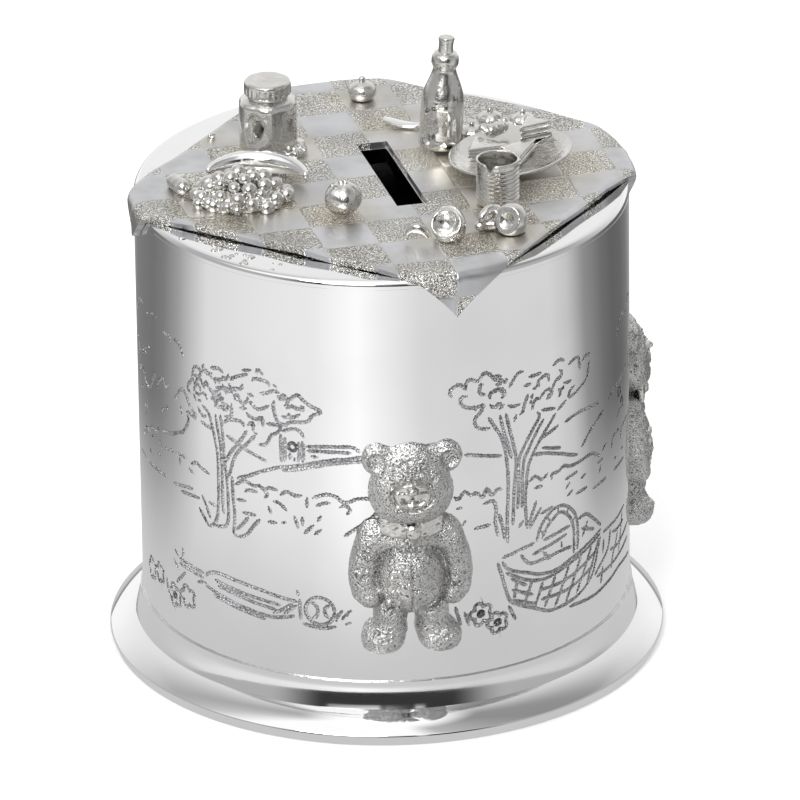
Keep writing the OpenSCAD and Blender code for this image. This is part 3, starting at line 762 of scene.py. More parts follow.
# round marks: turn, height and radius in mm, and how many petals a flower has
rings = [(-21.4, 45.6, 0.75, 0), (-15.4, 13.6, 2.7, 0), (-58.8, 7.4, 1.9, 5), (-53.3, 8.8, 1.9, 5),
         (-72, 8.5, 1.8, 5), (-66.6, 9.4, 1.6, 5), (22.3, 11.8, 1.9, 5), (26.5, 9.4, 1.8, 5),
         (72, 43.0, 0.8, 0), (74, 40.4, 0.7, 0), (-58.8, 7.4, 0.5, 0), (-53.3, 8.8, 0.5, 0),
         (22.3, 11.8, 0.5, 0), (26.5, 9.4, 0.5, 0)]


# the same drawing moved round the drum, turned about its own middle if mirrored
def movedRound(strokes, middle, target, mirrored=False):
    sign = -1 if mirrored else 1
    return [[(target + sign * (t - middle), h) for t, h in stroke] for stroke in strokes]


def ringStroke(turn, height, radius, petals):
    points = []
    for i in range(41):
        a = 2 * math.pi * i / 40
        r = radius * (1 + (0.42 * abs(math.sin(petals * a / 2)) - 0.24 if petals else 0))
        points.append((turn + math.degrees(r * math.cos(a) / 45), height + r * math.sin(a)))
    return points


# small leafy curls that fill a tree's crown
def leafCurls(middle, height, wide, high, count, seed):
    rng = random.Random(seed)
    curls = []
    for _ in range(count):
        a, f = rng.uniform(0, 2 * math.pi), math.sqrt(rng.random())
        turn, up = middle + wide * f * math.cos(a), height + high * f * math.sin(a)
        size, start = rng.uniform(0.7, 1.3), rng.uniform(0, 360)
        curls.append([(turn + size * 1.27 * math.cos(math.radians(start + k * 40)),
                       up + size * 0.8 * math.sin(math.radians(start + k * 40))) for k in range(rng.randint(3, 6))])
    return curls


# the picnic runs on round the back: more trees, hills, hedges and flowers
def wholeDrawing():
    strokes = farTrees + leftHedge + leftTrunk + leftCrown + hills + cricket
    strokes += rightCrown + rightTrunk + rightHedge + basket
    strokes += movedRound(leftCrown + leftTrunk, -36, 133, True)
    strokes += movedRound(rightCrown + rightTrunk, 33, 232, True)
    strokes += movedRound(leftHedge, -40, 178, True)
    strokes += movedRound([s for s in hills if s[0][0] > 17], 50, 190)
    strokes += movedRound(farTrees[11:], -63, 100, True)
    strokes += movedRound(rightHedge, 48, 240, False)
    strokes += movedRound(cricket[6:13], -35, 128, True)
    strokes += [ringStroke(*ring) for ring in rings]
    crowns = ((-41, 53.6, 9, 3.4, 20), (-24, 53, 6, 2.6, 7), (24, 54.6, 6.5, 3.4, 9), (40, 53.2, 8, 2.6, 10),
              (138, 53.6, 9, 3.4, 20), (121, 53, 6, 2.6, 7), (241, 54.6, 6.5, 3.4, 9), (225, 53.2, 8, 2.6, 10),
              (-74, 50, 8, 6, 12))
    for number, crown in enumerate(crowns):
        strokes += leafCurls(*crown, engraving["seed"] + number)
    for turn, height in ((104, 9), (110, 7.6), (158, 9), (164, 8), (200, 12), (206, 10.4), (246, 8.4), (262, 9.4)):
        strokes += [ringStroke(turn, height, 1.9, 5), ringStroke(turn, height, 0.5, 0)]
    for turn in range(96, 268, 9):
        base = 10 + 4 * math.sin(turn)
        strokes += [[(turn, base), (turn + 0.8, base + 2.4)], [(turn + 1.6, base), (turn + 1.9, base + 3)],
                    [(turn + 3.2, base + 0.3), (turn + 2.6, base + 2.2)]]
    return strokes


def smoothLine(points):
    flat = [Vector((math.radians(t) * 45, h)) for t, h in points]
    ends = [flat[0] * 2 - flat[1]] + flat + [flat[-1] * 2 - flat[-2]]
    line = []
    for i in range(1, len(ends) - 2):
        a, b, c, d = ends[i - 1:i + 3]
        steps = max(2, int((c - b).length / engraving["step"]))
        for k in range(steps):
            t = k / steps
            line.append(0.5 * ((2 * b) + (c - a) * t + (2 * a - 5 * b + 4 * c - d) * t * t
                               + (3 * b - a - 3 * c + d) * t ** 3))
    line.append(flat[-1])
    return line


def strokeLayers(lines):
    layers = []
    for line in sorted(lines, key=lambda s: s[0].x):
        low = Vector((min(p.x for p in line) - 0.8, min(p.y for p in line) - 0.8))
        high = Vector((max(p.x for p in line) + 0.8, max(p.y for p in line) + 0.8))
        for layer in layers:
            if len(layer) < engraving["perCut"] and all(
                    low.x > h.x or high.x < l.x or low.y > h.y or high.y < l.y for l, h, _ in layer):
                layer.append((low, high, line))
                break
        else:
            layers.append([(low, high, line)])
    return [[line for _, _, line in layer] for layer in layers]


def grooveCutter(lines, name):
    curve = bpy.data.curves.new(name, "CURVE")
    curve.dimensions = "3D"
    curve.bevel_depth = mm(engraving["halfWidth"])
    curve.bevel_resolution = 1
    curve.use_fill_caps = True
    for line in lines:
        spline = curve.splines.new("POLY")
        spline.points.add(len(line) - 1)
        total = len(line) - 1
        for i, p in enumerate(line):
            shake = noise.noise_vector(Vector((p.x * 0.7, p.y * 0.7, 3.0))) * engraving["tremble"]
            turn = math.degrees((p.x + shake.x) / 45) + engraving["turn"]
            radius = drumRadius - mm(engraving["depthShift"])
            place = onWall(turn, radius, drumFoot + mm(p.y + shake.y))
            spline.points[i].co = (*place, 1)
            fromEnd = min(i, total - i) * engraving["step"]
            taper = min(1.0, 0.45 + 0.55 * fromEnd / engraving["taper"])
            beat = engraving["beat"] * (-1) ** i
            spline.points[i].radius = taper * (1 + beat + 0.25 * noise.noise(Vector((p.x, p.y, 8.0))))
    obj = bpy.data.objects.new(name, curve)
    bpy.context.scene.collection.objects.link(obj)
    mesh = meshOf(obj)
    bpy.data.objects.remove(obj)
    bm = bmesh.new()
    bm.from_mesh(mesh)
    bmesh.ops.remove_doubles(bm, verts=bm.verts, dist=0.000001)
    bmesh.ops.recalc_face_normals(bm, faces=bm.faces)
    for face in bm.faces:
        face.material_index = 1
    return scratchObject(bm, name, (polishedPewter, engravedGroove))


# the strokes that left no groove behind
def unmarked(mesh, lines):
    marks = [f.center for f in mesh.polygons if f.material_index]
    tree = kdtree.KDTree(len(marks))
    for i, centre in enumerate(marks):
        tree.insert(centre, i)
    tree.balance()
    missing = []
    for line in lines:
        near = 0
        for p in line:
            place = onWall(math.degrees(p.x / 45) + engraving["turn"], drumRadius, drumFoot + mm(p.y))
            near += bool(marks) and tree.find(place)[2] < mm(0.7)
        if near < 0.7 * len(line):
            missing.append(line)
    return missing


# cuts a layer of strokes; a layer that spoils the wall is cut again in halves
def engrave(shell, lines, name):
    before = shell.data.copy()
    size = len(before.polygons)
    cutWith(shell, grooveCutter(lines, name), len(lines) == 1)
    missing = lines if len(shell.data.polygons) < size else unmarked(shell.data, lines)
    if len(missing) > max(1, 0.2 * len(lines)):
        shell.data = before
        if len(lines) == 1:
            return lines
        half = len(lines) // 2
        return engrave(shell, lines[:half], name) + engrave(shell, lines[half:], name)
    return missing


def radialWallNormals(mesh):
    normals = [(0.0, 0.0, 0.0)] * len(mesh.loops)
    for face in mesh.polygons:
        if face.material_index:
            continue
        corners = [mesh.vertices[mesh.loops[i].vertex_index].co for i in face.loop_indices]
        reach = [math.hypot(c.x, c.y) for c in corners]
        if min(reach) < drumRadius - mm(0.06):
            continue
        for i, c, r in zip(face.loop_indices, corners, reach):
            normals[i] = (c.x / r, c.y / r, 0.0)
    mesh.normals_split_custom_set(normals)


drum = {"wall": 1.2, "segments": 288, "rings": 40}


def makeDrum():
    bm = bmesh.new()
    r = drumRadius * 1000
    low, high = drumLow.z * 1000, drumHigh.z * 1000
    profile = [(r, low + (high - low) * i / drum["rings"]) for i in range(drum["rings"] + 1)]
    profile = [(r - drum["wall"], low)] + profile + [(r - drum["wall"], high)]
    turned(bm, profile, drum["segments"], closed=True)
    shell = scratchObject(bm, "drumBlank", (polishedPewter, engravedGroove))
    lines = [smoothLine(stroke) for stroke in wholeDrawing()]
    layers = strokeLayers(lines)
    missed = []
    for number, layer in enumerate(layers):
        missed += engrave(shell, layer, "groove%d" % number)
    for layer in strokeLayers(missed):
        engrave(shell, layer, "again")
    missed = unmarked(shell.data, missed)
    bm = bmesh.new()
    bm.from_mesh(shell.data)
    bpy.data.objects.remove(shell)
    for face in bm.faces:
        face.smooth = True
    for edge in bm.edges:
        if len(edge.link_faces) == 2:
            a, b = edge.link_faces
            if a.material_index != b.material_index or edge.calc_face_angle(0.0) > math.radians(50):
                edge.smooth = False
    obj = pieceFrom(bm, "engravedDrum", (polishedPewter, engravedGroove), replaces=("drum_shell",))
    radialWallNormals(obj.data)
    print("drum engraved:", len(lines), "strokes in", len(layers), "cuts,", len(obj.data.polygons), "faces,",
          len(missed), "missed")


makeDrum()

# spun foot: a shallow cove under the drum, a long rounded slope, and a lip at the table
foot = {
    "bore": 41.5, "ring": 46.0, "segments": 256,
    "neck": ((51.369, 9.847), 6.0), "cove": ((70.345, 13.881), 25.4),
    "slope": ((40.837, -8.569), 14.85), "edge": ((50.541, 1.729), 0.7),
}


def makeFoot():
    top = drumFoot * 1000
    profile = [(foot["bore"], top + 1.2), (foot["bore"], 4.8), (foot["ring"], 4.8), (foot["ring"], 0.25),
               (foot["ring"] + 0.25, 0.0), (50.55, 0.0), (50.7, 0.15), (50.78, 1.1), (50.84, 1.2)]
    profile += arcPoints(*foot["edge"], -46, 44, 14)
    profile += arcPoints(*foot["slope"], 46.7, 68, 14)
    profile += arcPoints(*foot["cove"], 200, 193, 5)
    profile += arcPoints(*foot["neck"], 192, 180, 5)
    profile += [(45.35, top + 0.02), (43.7, top + 0.02), (43.7, top + 1.2)]
    bm = bmesh.new()
    turned(bm, profile, foot["segments"], closed=True)
    pieceFrom(bm, "spunFoot", (polishedPewter,), replaces=("foot_ring",), sharp=28)


# uneven thread of solder where the drum meets its foot
solder = {"radius": 0.22, "wander": 0.09, "segments": 320}


def makeSolderLine():
    bm = bmesh.new()
    ring = [(45.08 + solder["radius"] * math.cos(a), 10.02 + solder["radius"] * math.sin(a))
            for a in [2 * math.pi * i / 8 for i in range(8)]]
    turned(bm, ring, solder["segments"], closed=True)
    for v in bm.verts:
        push = noise.noise(v.co * 900) * noise.noise(v.co * 160 + Vector((5, 0, 0)))
        v.co += Vector((v.co.x, v.co.y, 0)).normalized() * mm(solder["wander"]) * 3 * push
        v.co.z += mm(solder["wander"]) * noise.noise(v.co * 500)
    pieceFrom(bm, "solderLine", (castPewter,), sharp=80)


# disc under the cloth, with a rolled rim and the coin slot through it
topPlate = {"rim": 1.15, "spigot": 1.2, "segments": 256}
slot = {"width": 5.5, "length": 29.0, "shift": 2.0, "corner": 0.5}


def slotCutter(low, high, grow=0.0):
    bm = bmesh.new()
    bmesh.ops.create_cube(bm, size=1.0)
    bmesh.ops.scale(bm, verts=bm.verts, vec=(mm(slot["width"] + grow), mm(slot["length"] + grow), high - low))
    uprights = [e for e in bm.edges if abs(e.verts[0].co.z - e.verts[1].co.z) > 0.5 * (high - low)]
    bmesh.ops.bevel(bm, geom=uprights, offset=mm(slot["corner"]), segments=4, profile=0.5, affect="EDGES", material=-1)
    bmesh.ops.translate(bm, verts=bm.verts, vec=(mm(slot["shift"]), 0, (low + high) / 2))
    return scratchObject(bm, "slotCutter")


def makeTopPlate():
    r = drumRadius * 1000
    top = lidTop * 1000
    rim = topPlate["rim"]
    profile = [(0.0, top - 2.8), (43.7, top - 2.8), (43.7, top - 1.6), (r - 0.03, top - 1.6), (r - 0.03, top - 1.5)]
    profile += arcPoints((r - rim, top - rim), rim, 0, 90, 10)
    profile += [(0.0, top)]
    bm = bmesh.new()
    turned(bm, profile, topPlate["segments"])
    plate = scratchObject(bm, "plateBlank", (polishedPewter,))
    cutWith(plate, slotCutter(lidTop - mm(4), lidTop + mm(1)))
    bm = bmesh.new()
    bm.from_mesh(plate.data)
    bpy.data.objects.remove(plate)
    pieceFrom(bm, "rimmedTopPlate", (polishedPewter,), replaces=("top_plate",), sharp=30)


# spun disc inside the foot, with shallow rings left by the tool
basePlate = {"hole": 17.0, "radius": 46.0, "under": 3.2, "thick": 1.6, "ringPitch": 2.4}


def makeBasePlate():
    low, high = basePlate["under"], basePlate["under"] + basePlate["thick"]
    profile = [(basePlate["radius"], low)]
    r = basePlate["radius"] - basePlate["ringPitch"]
    while r > basePlate["hole"] + 3.6:
        profile += [(r + 0.5, low), (r, low + 0.10), (r - 0.5, low)]
        r -= basePlate["ringPitch"]
    profile += [(basePlate["hole"] + 0.3, low), (basePlate["hole"] + 0.02, low + 0.3),
                (basePlate["hole"] + 0.02, high), (basePlate["radius"], high)]
    bm = bmesh.new()
    turned(bm, profile, 192, closed=True)
    pieceFrom(bm, "spunBasePlate", (spunPewter,), replaces=("base_plate",), sharp=30)


# soft black plug that closes the hole the coins come out of
plug = {"flange": 20.0, "flangeThick": 1.4, "plug": 16.95, "height": 5.0, "wall": 1.6, "notch": 1.8}


def makeStopper():
    low = basePlate["under"] - plug["flangeThick"]
    mid = basePlate["under"] - 0.01
    high = mid + plug["height"]
    profile = [(0.0, low + 0.5), (6.0, low + 0.5), (6.5, low + 0.1), (7.6, low + 0.1), (8.1, low + 0.5), (13.8, low + 0.5)]
    profile += [(14.3, low)] + arcPoints((plug["flange"] - 0.5, low + 0.5), 0.5, -90, 0, 5)
    profile += arcPoints((plug["flange"] - 0.4, mid - 0.4), 0.4, 0, 90, 5)
    profile += [(plug["plug"], mid), (plug["plug"], high - 0.8)]
    profile += arcPoints((plug["plug"] - 0.6, high - 0.6), 0.6, 0, 90, 5)
    profile += [(plug["plug"] - plug["wall"], high), (plug["plug"] - plug["wall"] - 0.1, mid + 0.3),
                (plug["plug"] - plug["wall"] - 0.5, mid), (0.0, mid)]
    bm = bmesh.new()
    turned(bm, profile, 128)
    stopper = scratchObject(bm, "plugBlank", (blackPlastic,))
    bm = bmesh.new()
    bmesh.ops.create_cone(bm, cap_ends=True, segments=32, radius1=mm(plug["notch"]), radius2=mm(plug["notch"]),
                          depth=mm(6))
    bmesh.ops.translate(bm, verts=bm.verts, vec=(0, -mm(plug["flange"]), mm(low - 1)))
    bmesh.ops.bisect_plane(bm, geom=bm.verts[:] + bm.edges[:] + bm.faces[:], plane_co=(0, 0, mm(mid + 0.5)),
                           plane_no=(0, 0, 1), clear_outer=True)
    bmesh.ops.holes_fill(bm, edges=[e for e in bm.edges if e.is_boundary])
    bmesh.ops.recalc_face_normals(bm, faces=bm.faces)
    cutWith(stopper, scratchObject(bm, "notchCutter"))
    bm = bmesh.new()
    bm.from_mesh(stopper.data)
    bpy.data.objects.remove(stopper)
    pieceFrom(bm, "plugStopper", (blackPlastic,), body="stopper", replaces=("base_stopper",), sharp=35)


# cast cloth: a square laid corner to the front, its corners folded down over the rim
cloth = {
    "shift": 2.0, "halfDiagonal": 54.0, "thick": 1.35, "grid": 0.62, "bendStart": 44.5, "bend": 1.75,
    "check": 10.0, "edgeLift": 0.75, "edgeFade": 4.0, "ripple": 0.34,
}
lidItems = ("honey_jar", "bottle", "grape_bunch", "apple", "iced_bun", "butter_knife", "picnic_plate",
            "beaker", "split_bun", "peach_half", "crumb")


def clothPlace(flat):
    p = Vector((flat.x, flat.y))
    fromCorner = abs(p.x - cloth["shift"]) + abs(p.y)
    toEdge = (cloth["halfDiagonal"] - fromCorner) / math.sqrt(2)
    r = p.length
    lift = 0.0
    sides = max(0.0, min(1.0, (46.5 - r) / 5.0))
    wave = 0.75 + 0.6 * noise.noise(Vector((p.x * 0.07, p.y * 0.07, 1.0)))
    lift += cloth["edgeLift"] * wave * math.exp(-max(0.0, toEdge) / cloth["edgeFade"]) * sides
    lift += cloth["ripple"] * noise.noise(Vector((p.x * 0.09, p.y * 0.09, 4.0))) * math.exp(-max(0.0, toEdge) / 12)
    lift -= 0.35 * max(0.0, 1 - toEdge / 0.9) ** 2
    over = r - cloth["bendStart"]
    out = r
    drop = 0.0
    if over > 0:
        turn = min(over / cloth["bend"], math.pi / 2)
        out = cloth["bendStart"] + cloth["bend"] * math.sin(turn)
        drop = cloth["bend"] * (1 - math.cos(turn)) + max(0.0, over - cloth["bend"] * math.pi / 2)
        # crease down the middle of each folded corner, and a flare at its sides
        side = min(abs(p.x - cloth["shift"]), abs(p.y))
        crease = math.exp(-(side / 1.1) ** 2)
        out += 0.35 * crease * min(1.0, over / 3) + 0.35 * min(1.0, over / 5) * min(1.0, side / 5)
        lift *= max(0.0, 1 - over / 3)
    k = out / r if r > 1e-6 else 1.0
    return Vector((mm(p.x * k), mm(p.y * k), clothTop - mm(0.25) + mm(lift - drop)))


def makeCloth():
    bm = bmesh.new()
    cells = int(2 * 58 / cloth["grid"])
    bmesh.ops.create_grid(bm, x_segments=cells, y_segments=cells, size=58.0)
    bmesh.ops.translate(bm, verts=bm.verts, vec=(cloth["shift"], 0, 0))
    for x, y in ((1, 1), (-1, 1), (-1, -1), (1, -1)):
        bmesh.ops.bisect_plane(bm, geom=bm.verts[:] + bm.edges[:] + bm.faces[:], dist=0.0001, clear_outer=True,
                               plane_co=(cloth["shift"] + x * cloth["halfDiagonal"] / 2, y * cloth["halfDiagonal"] / 2, 0),
                               plane_no=(x, y, 0))
    halfW, halfL = slot["width"] / 2 + 0.12, slot["length"] / 2 + 0.12
    for x, y, d in ((1, 0, halfW), (-1, 0, halfW), (0, 1, halfL), (0, -1, halfL)):
        bmesh.ops.bisect_plane(bm, geom=bm.verts[:] + bm.edges[:] + bm.faces[:], dist=0.0001,
                               plane_co=(slot["shift"] + x * d, y * d, 0), plane_no=(x, y, 0))
    inside = [f for f in bm.faces if abs(f.calc_center_median().x - slot["shift"]) < halfW
              and abs(f.calc_center_median().y) < halfL]
    bmesh.ops.delete(bm, geom=inside, context="FACES")
    uv = bm.loops.layers.uv.new("flatCloth")
    warmLayer = bm.verts.layers.float.new("warm")
    warmSpots = [((low + high) / 2 * 1000, (high - low).xy.length * 420) for low, high in map(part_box, lidItems)]
    for face in bm.faces:
        for loop in face.loops:
            p = loop.vert.co
            loop[uv].uv = ((p.x - 1.8) / cloth["check"], p.y / cloth["check"])
    for v in bm.verts:
        near = min((v.co.xy - c.xy).length - r for c, r in warmSpots)
        patch = 0.5 + 0.5 * noise.noise(Vector((v.co.x * 0.12, v.co.y * 0.12, 9.0)))
        v[warmLayer] = max(0.0, min(1.0, 1.1 - near / 5)) * (0.35 + 0.65 * patch)
        v.co = clothPlace(v.co)
    bm.normal_update()
    sheetFaces = bm.faces[:]
    bmesh.ops.solidify(bm, geom=sheetFaces, thickness=mm(cloth["thick"]))
    bm.normal_update()
    if sum(f.calc_area() * f.normal.z for f in sheetFaces if f.is_valid) < 0:
        bmesh.ops.reverse_faces(bm, faces=bm.faces)
    lowest = lidTop + mm(0.02)
    for v in bm.verts:
        if v.co.xy.length < mm(44.2):
            v.co.z = max(v.co.z, lowest)
    pieceFrom(bm, "picnicCloth", (clothPewter,), replaces=("picnic_cloth",), sharp=48)


# specks of solder left on the polished plate in front of the cloth
specks = {"seed": 5, "count": 16, "size": (0.25, 0.8)}


def makeSpecks():
    rng = random.Random(specks["seed"])
    bm = bmesh.new()
    for _ in range(specks["count"]):
        size = rng.uniform(*specks["size"])
        turn = rng.gauss(-54, 9)
        radius = rng.uniform(40.4, 43.6)
        place = onWall(turn, mm(radius), lidTop)
        made = bmesh.ops.create_icosphere(bm, subdivisions=3, radius=mm(size))
        for v in made["verts"]:
            v.co *= 1 + 0.35 * noise.noise(v.co * 1800 + place * 400)
            v.co.z *= 0.45
            v.co += place
    pieceFrom(bm, "solderSpecks", (castPewter,), sharp=60)


makeFoot()
makeSolderLine()
makeTopPlate()
makeBasePlate()
makeStopper()
makeCloth()
makeSpecks()
print("foot, plates, stopper and cloth made")


# soft cast shapes: balls and rods run together, then smoothed as one lump
def ballAt(bm, centre, size, turn=None):
    made = bmesh.ops.create_uvsphere(bm, u_segments=24, v_segments=16, radius=1.0)
    matrix = Matrix.Translation([mm(c) for c in centre])
    if turn is not None:
        matrix = matrix @ turn.to_4x4()
    size = (size, size, size) if isinstance(size, (int, float)) else size
    matrix = matrix @ Matrix.Diagonal([mm(s) for s in size]).to_4x4()
    bmesh.ops.transform(bm, matrix=matrix, verts=made["verts"])


def rodBetween(bm, start, end, radius, endRadius=None, steps=7):
    endRadius = radius if endRadius is None else endRadius
    for i in range(steps):
        t = i / (steps - 1)
        centre = [a + (b - a) * t for a, b in zip(start, end)]
        ballAt(bm, centre, radius + (endRadius - radius) * t)


def castLump(bm, name, voxel, smoothing=4):
    blank = scratchObject(bm, name)
    fuse = blank.modifiers.new("fuse", "REMESH")
    fuse.mode = "VOXEL"
    fuse.voxel_size = mm(voxel)
    soften = blank.modifiers.new("soften", "SMOOTH")
    soften.factor = 0.5
    soften.iterations = smoothing
    mesh = meshOf(blank)
    bpy.data.objects.remove(blank)
    out = bmesh.new()
    out.from_mesh(mesh)
    return out


# pushes a surface in and out along its own normals
def roughen(bm, depth, size, seed=0.0, sharp=False):
    bm.normal_update()
    moves = []
    for v in bm.verts:
        n = noise.noise(v.co * (1000 / size) + Vector((seed, seed * 2, seed * 3)))
        n = 1 - 2 * abs(n) if sharp else n
        moves.append(v.normal * mm(depth) * n)
    for v, move in zip(bm.verts, moves):
        v.co += move


# teddy bear in relief: x is across the bear, y is out of the wall (negative), z is up from its feet
bear = {"lift": 5.9, "frontTurn": -8.9, "sideTurn": 90.0, "voxel": 0.26, "fur": 0.08, "furSize": 0.8,
        # x, height and reach of the coarse patches
        "posySeed": 5, "patches": [(0.2, 37.4, 3.8), (-0.4, 22.6, 3.6), (-8.6, 21.5, 2.2), (-9.2, 17.5, 2.4), (-5.4, 5.2, 2.6),
                    (5.2, 5.0, 2.4), (-3.6, 10.8, 2.0), (3.9, 11.2, 1.8), (8.2, 14.4, 1.5), (-3.4, 14.5, 2.6)]}


def bearBody():
    bm = bmesh.new()
    wall = drumRadius * 1000

    def blob(x, out, z, size, tilt=0.0):
        # bring each part in against the curved wall
        ballAt(bm, (x, -math.sqrt(max(0, wall ** 2 - x ** 2)) - out, z), size, Matrix.Rotation(math.radians(tilt), 3, "Y"))

    blob(0.2, 0.6, 32.6, (7.8, 4.8, 7.0))
    blob(0.2, 0.2, 36.0, (6.6, 3.9, 5.4))
    blob(0.1, 1.0, 30.6, (7.0, 4.6, 4.8))
    for side in (-1, 1):
        blob(side * (6.7 if side > 0 else 6.0) + 0.2, 0.3, 38.7, (2.8, 2.3, 2.8))
        blob(side * 4.6, 0.2, 38.0, (3.2, 2.4, 3.0))
        # shoulders, arms and paws
        blob(side * 5.8, 0.2, 23.4, (3.9, 3.0, 3.6))
        for t in [i / 10 for i in range(11)]:
            blob(side * (7.4 + 1.2 * math.sin(t * 2.5)), 0.9 + 0.5 * t, 22.4 - 8.8 * t, (2.5 + 0.25 * t, 2.7, 2.9), side * 8)
        blob(side * 7.4, 1.8, 12.4, (2.5, 2.5, 2.3))
        # legs and feet
        blob(side * 3.7, 0.4, 8.6, (3.2, 3.6, 3.8))
        blob(side * 3.9, 0.6, 5.6, (3.3, 3.5, 3.4))
        blob(side * 5.1, 1.2, 3.9, (4.1, 4.0, 2.9))
        blob(side * 5.2, 1.3, 2.9, (3.8, 3.6, 1.9))
    blob(0.0, 0.2, 23.0, (6.2, 4.0, 4.6))
    blob(0.1, 0.6, 16.4, (6.5, 5.1, 7.2))
    blob(0.1, 0.9, 14.0, (6.2, 5.0, 5.2))
    # muzzle
    blob(0.1, 3.4, 33.3, (3.5, 2.2, 2.6))
    return bm


def carveBear(bm):
    wall = drumRadius * 1000
    for v in bm.verts:
        p = v.co * 1000
        x, z = p.x, p.z
        out = -p.y - math.sqrt(max(0.0, wall ** 2 - x * x))
        if out < 0.2:
            continue
        push = 0.0
        push -= 0.50 * math.exp(-((x + 0.1) / 0.26) ** 2) * max(0, 1 - abs(z - 15.5) / 7.5) ** 0.5
        push -= 1.25 * math.exp(-(x / 0.6) ** 2) * max(0.0, 1 - z / 8.0)
        for side in (-1, 1):
            ear = math.hypot(x - side * (6.9 if side > 0 else 6.2) - 0.2, z - 38.7)
            push -= 1.1 * max(0.0, 1 - (ear / 1.75) ** 4)
            arm = abs(math.hypot((x - side * 0.1) / 1.0, (z - 16.0) / 1.12) - 6.25)
            if side * x > 2.5 and 10.5 < z < 22.5:
                push -= 0.85 * math.exp(-(arm / 0.42) ** 2)
        if z > 34 and abs(x - 0.2) < 7:
            push -= 0.35 * math.exp(-((math.hypot(x - 0.2, (z - 36.0) * 1.1) - 3.4) / 0.8) ** 2)
        smile = min(abs(math.hypot(x - 0.1 - s * 0.9, z - 32.9) - 0.9) for s in (-1, 1))
        if z < 32.9 and abs(x - 0.1) < 2.0:
            push -= 0.60 * math.exp(-(smile / 0.25) ** 2)
        push -= 0.45 * math.exp(-((x - 0.1) / 0.22) ** 2) * (1 if 32.6 < z < 34.0 else 0)
        cheek = math.hypot((x - 0.1) / 3.6, (z - 33.3) / 2.7)
        push -= 0.85 * math.exp(-((cheek - 1.02) / 0.11) ** 2)
        push += 0.20 * math.exp(-((cheek - 0.80) / 0.10) ** 2)
        # a seam where the head meets its back plate
        if z > 33 and 0.7 < out < 2.2:
            rim = math.exp(-((out - 1.4) / 0.28) ** 2)
            v.co -= Vector((x * 0.05, 0, 0.7)).normalized() * mm(0.45) * rim
        # coarse patches left rough from the mould
        for px, pz, reach in bear["patches"]:
            near = max(0.0, 1 - math.hypot(x - px, (z - pz) * 1.5) / reach)
            push += 0.75 * min(1.0, near * 2.5) * noise.noise(Vector((x, out, z)) * 1.7)
        push -= 0.35 * math.exp(-((z - 27.0 - 0.02 * x * x) / 0.5) ** 2) * (1 if abs(x) < 6.5 else 0)
        v.co.y -= mm(push)


def wallCutter():
    bm = bmesh.new()
    bmesh.ops.create_cone(bm, cap_ends=True, segments=360, radius1=drumRadius - mm(0.02), radius2=drumRadius - mm(0.02), depth=mm(120))
    bmesh.ops.translate(bm, verts=bm.verts, vec=(0, 0, mm(40)))
    return scratchObject(bm, "wallCutter")


def makeBear(name, node, turn, seed):
    raised = castLump(bearBody(), name, bear["voxel"], 6)
    carveBear(raised)
    roughen(raised, bear["fur"], bear["furSize"], seed)
    roughen(raised, 0.09, 0.5, seed + 3)
    # nose, buttons, bow and posy keep their polish
    shine = bmesh.new()
    wall = drumRadius * 1000
    at = lambda x, out, z: (x, -math.sqrt(wall ** 2 - x * x) - out, z)
    ballAt(shine, at(0.1, 5.5, 34.3), (1.0, 0.7, 0.7))
    for side in (-1, 1):
        for i in range(9):
            t = i / 8
            x = side * (1.4 + 3.6 * t)
            for rise in (-1.0, -0.35, 0.35, 1.0):
                ballAt(shine, at(x, 3.75 - 0.9 * t, 26.3 + rise * (1.05 + 0.35 * t) + 0.9 * t * t), (0.75, 0.62, 0.75))
    ballAt(shine, at(0.2, 4.6, 25.9), (1.35, 0.9, 1.6))
    posy = random.Random(bear["posySeed"])
    for i in range(26):
        a, f = posy.uniform(0, 2 * math.pi), math.sqrt(posy.random())
        x, z = -2.9 + 2.3 * f * math.cos(a), 14.6 + 3.9 * f * math.sin(a)
        ballAt(shine, at(x, 5.35 - 0.055 * x * x - 0.02 * (z - 15) ** 2, z), posy.uniform(0.45, 0.8))
    lump = castLump(shine, name, 0.22, 3)
    roughen(lump, 0.24, 0.8, seed + 5)
    for face in lump.faces:
        face.material_index = 1
    spare = bpy.data.meshes.new(name)
    lump.to_mesh(spare)
    lump.free()
    bmesh.ops.translate(raised, verts=raised.verts, vec=(0, 0, drumFoot + mm(bear["lift"])))
    for face in raised.faces:
        p = face.calc_center_median() * 1000 - Vector((0.1, 0, drumFoot * 1000 + bear["lift"] + 33.3))
        if p.y < -drumRadius * 1000 - 2 and math.hypot(p.x / 3.6, p.z / 2.7) < 1.12:
            face.material_index = 1
    blank = scratchObject(raised, name, (furPewter, castPewter))
    cutWith(blank, wallCutter())
    bm = bmesh.new()
    bm.from_mesh(blank.data)
    bpy.data.objects.remove(blank)
    before = set(bm.verts)
    bm.from_mesh(spare)
    bmesh.ops.translate(bm, verts=[v for v in bm.verts if v not in before], vec=(0, 0, drumFoot + mm(bear["lift"])))
    for v in bm.verts:
        reach = v.co.xy.length
        if reach > cadHigh.x:
            v.co.xy *= cadHigh.x / reach
    bmesh.ops.rotate(bm, verts=bm.verts, cent=(0, 0, 0), matrix=Matrix.Rotation(math.radians(turn), 3, "Z"))
    pieceFrom(bm, name, (furPewter, castPewter), replaces=(node,), sharp=70)


def middleOf(node):
    low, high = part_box(node)
    return (low + high) / 2 * 1000


deck = clothTop * 1000


# a piece cast on the lid, finished with the same small dents as its neighbours
def lidPiece(bm, name, node, dents=0.06, size=2.2, sharp=40, mat=None):
    roughen(bm, dents, size, len(name))
    return pieceFrom(bm, name, (mat or castPewter,), replaces=(node,), sharp=sharp)


jar = {"body": 5.3, "lid": 4.25, "high": 13.55, "segments": 96}


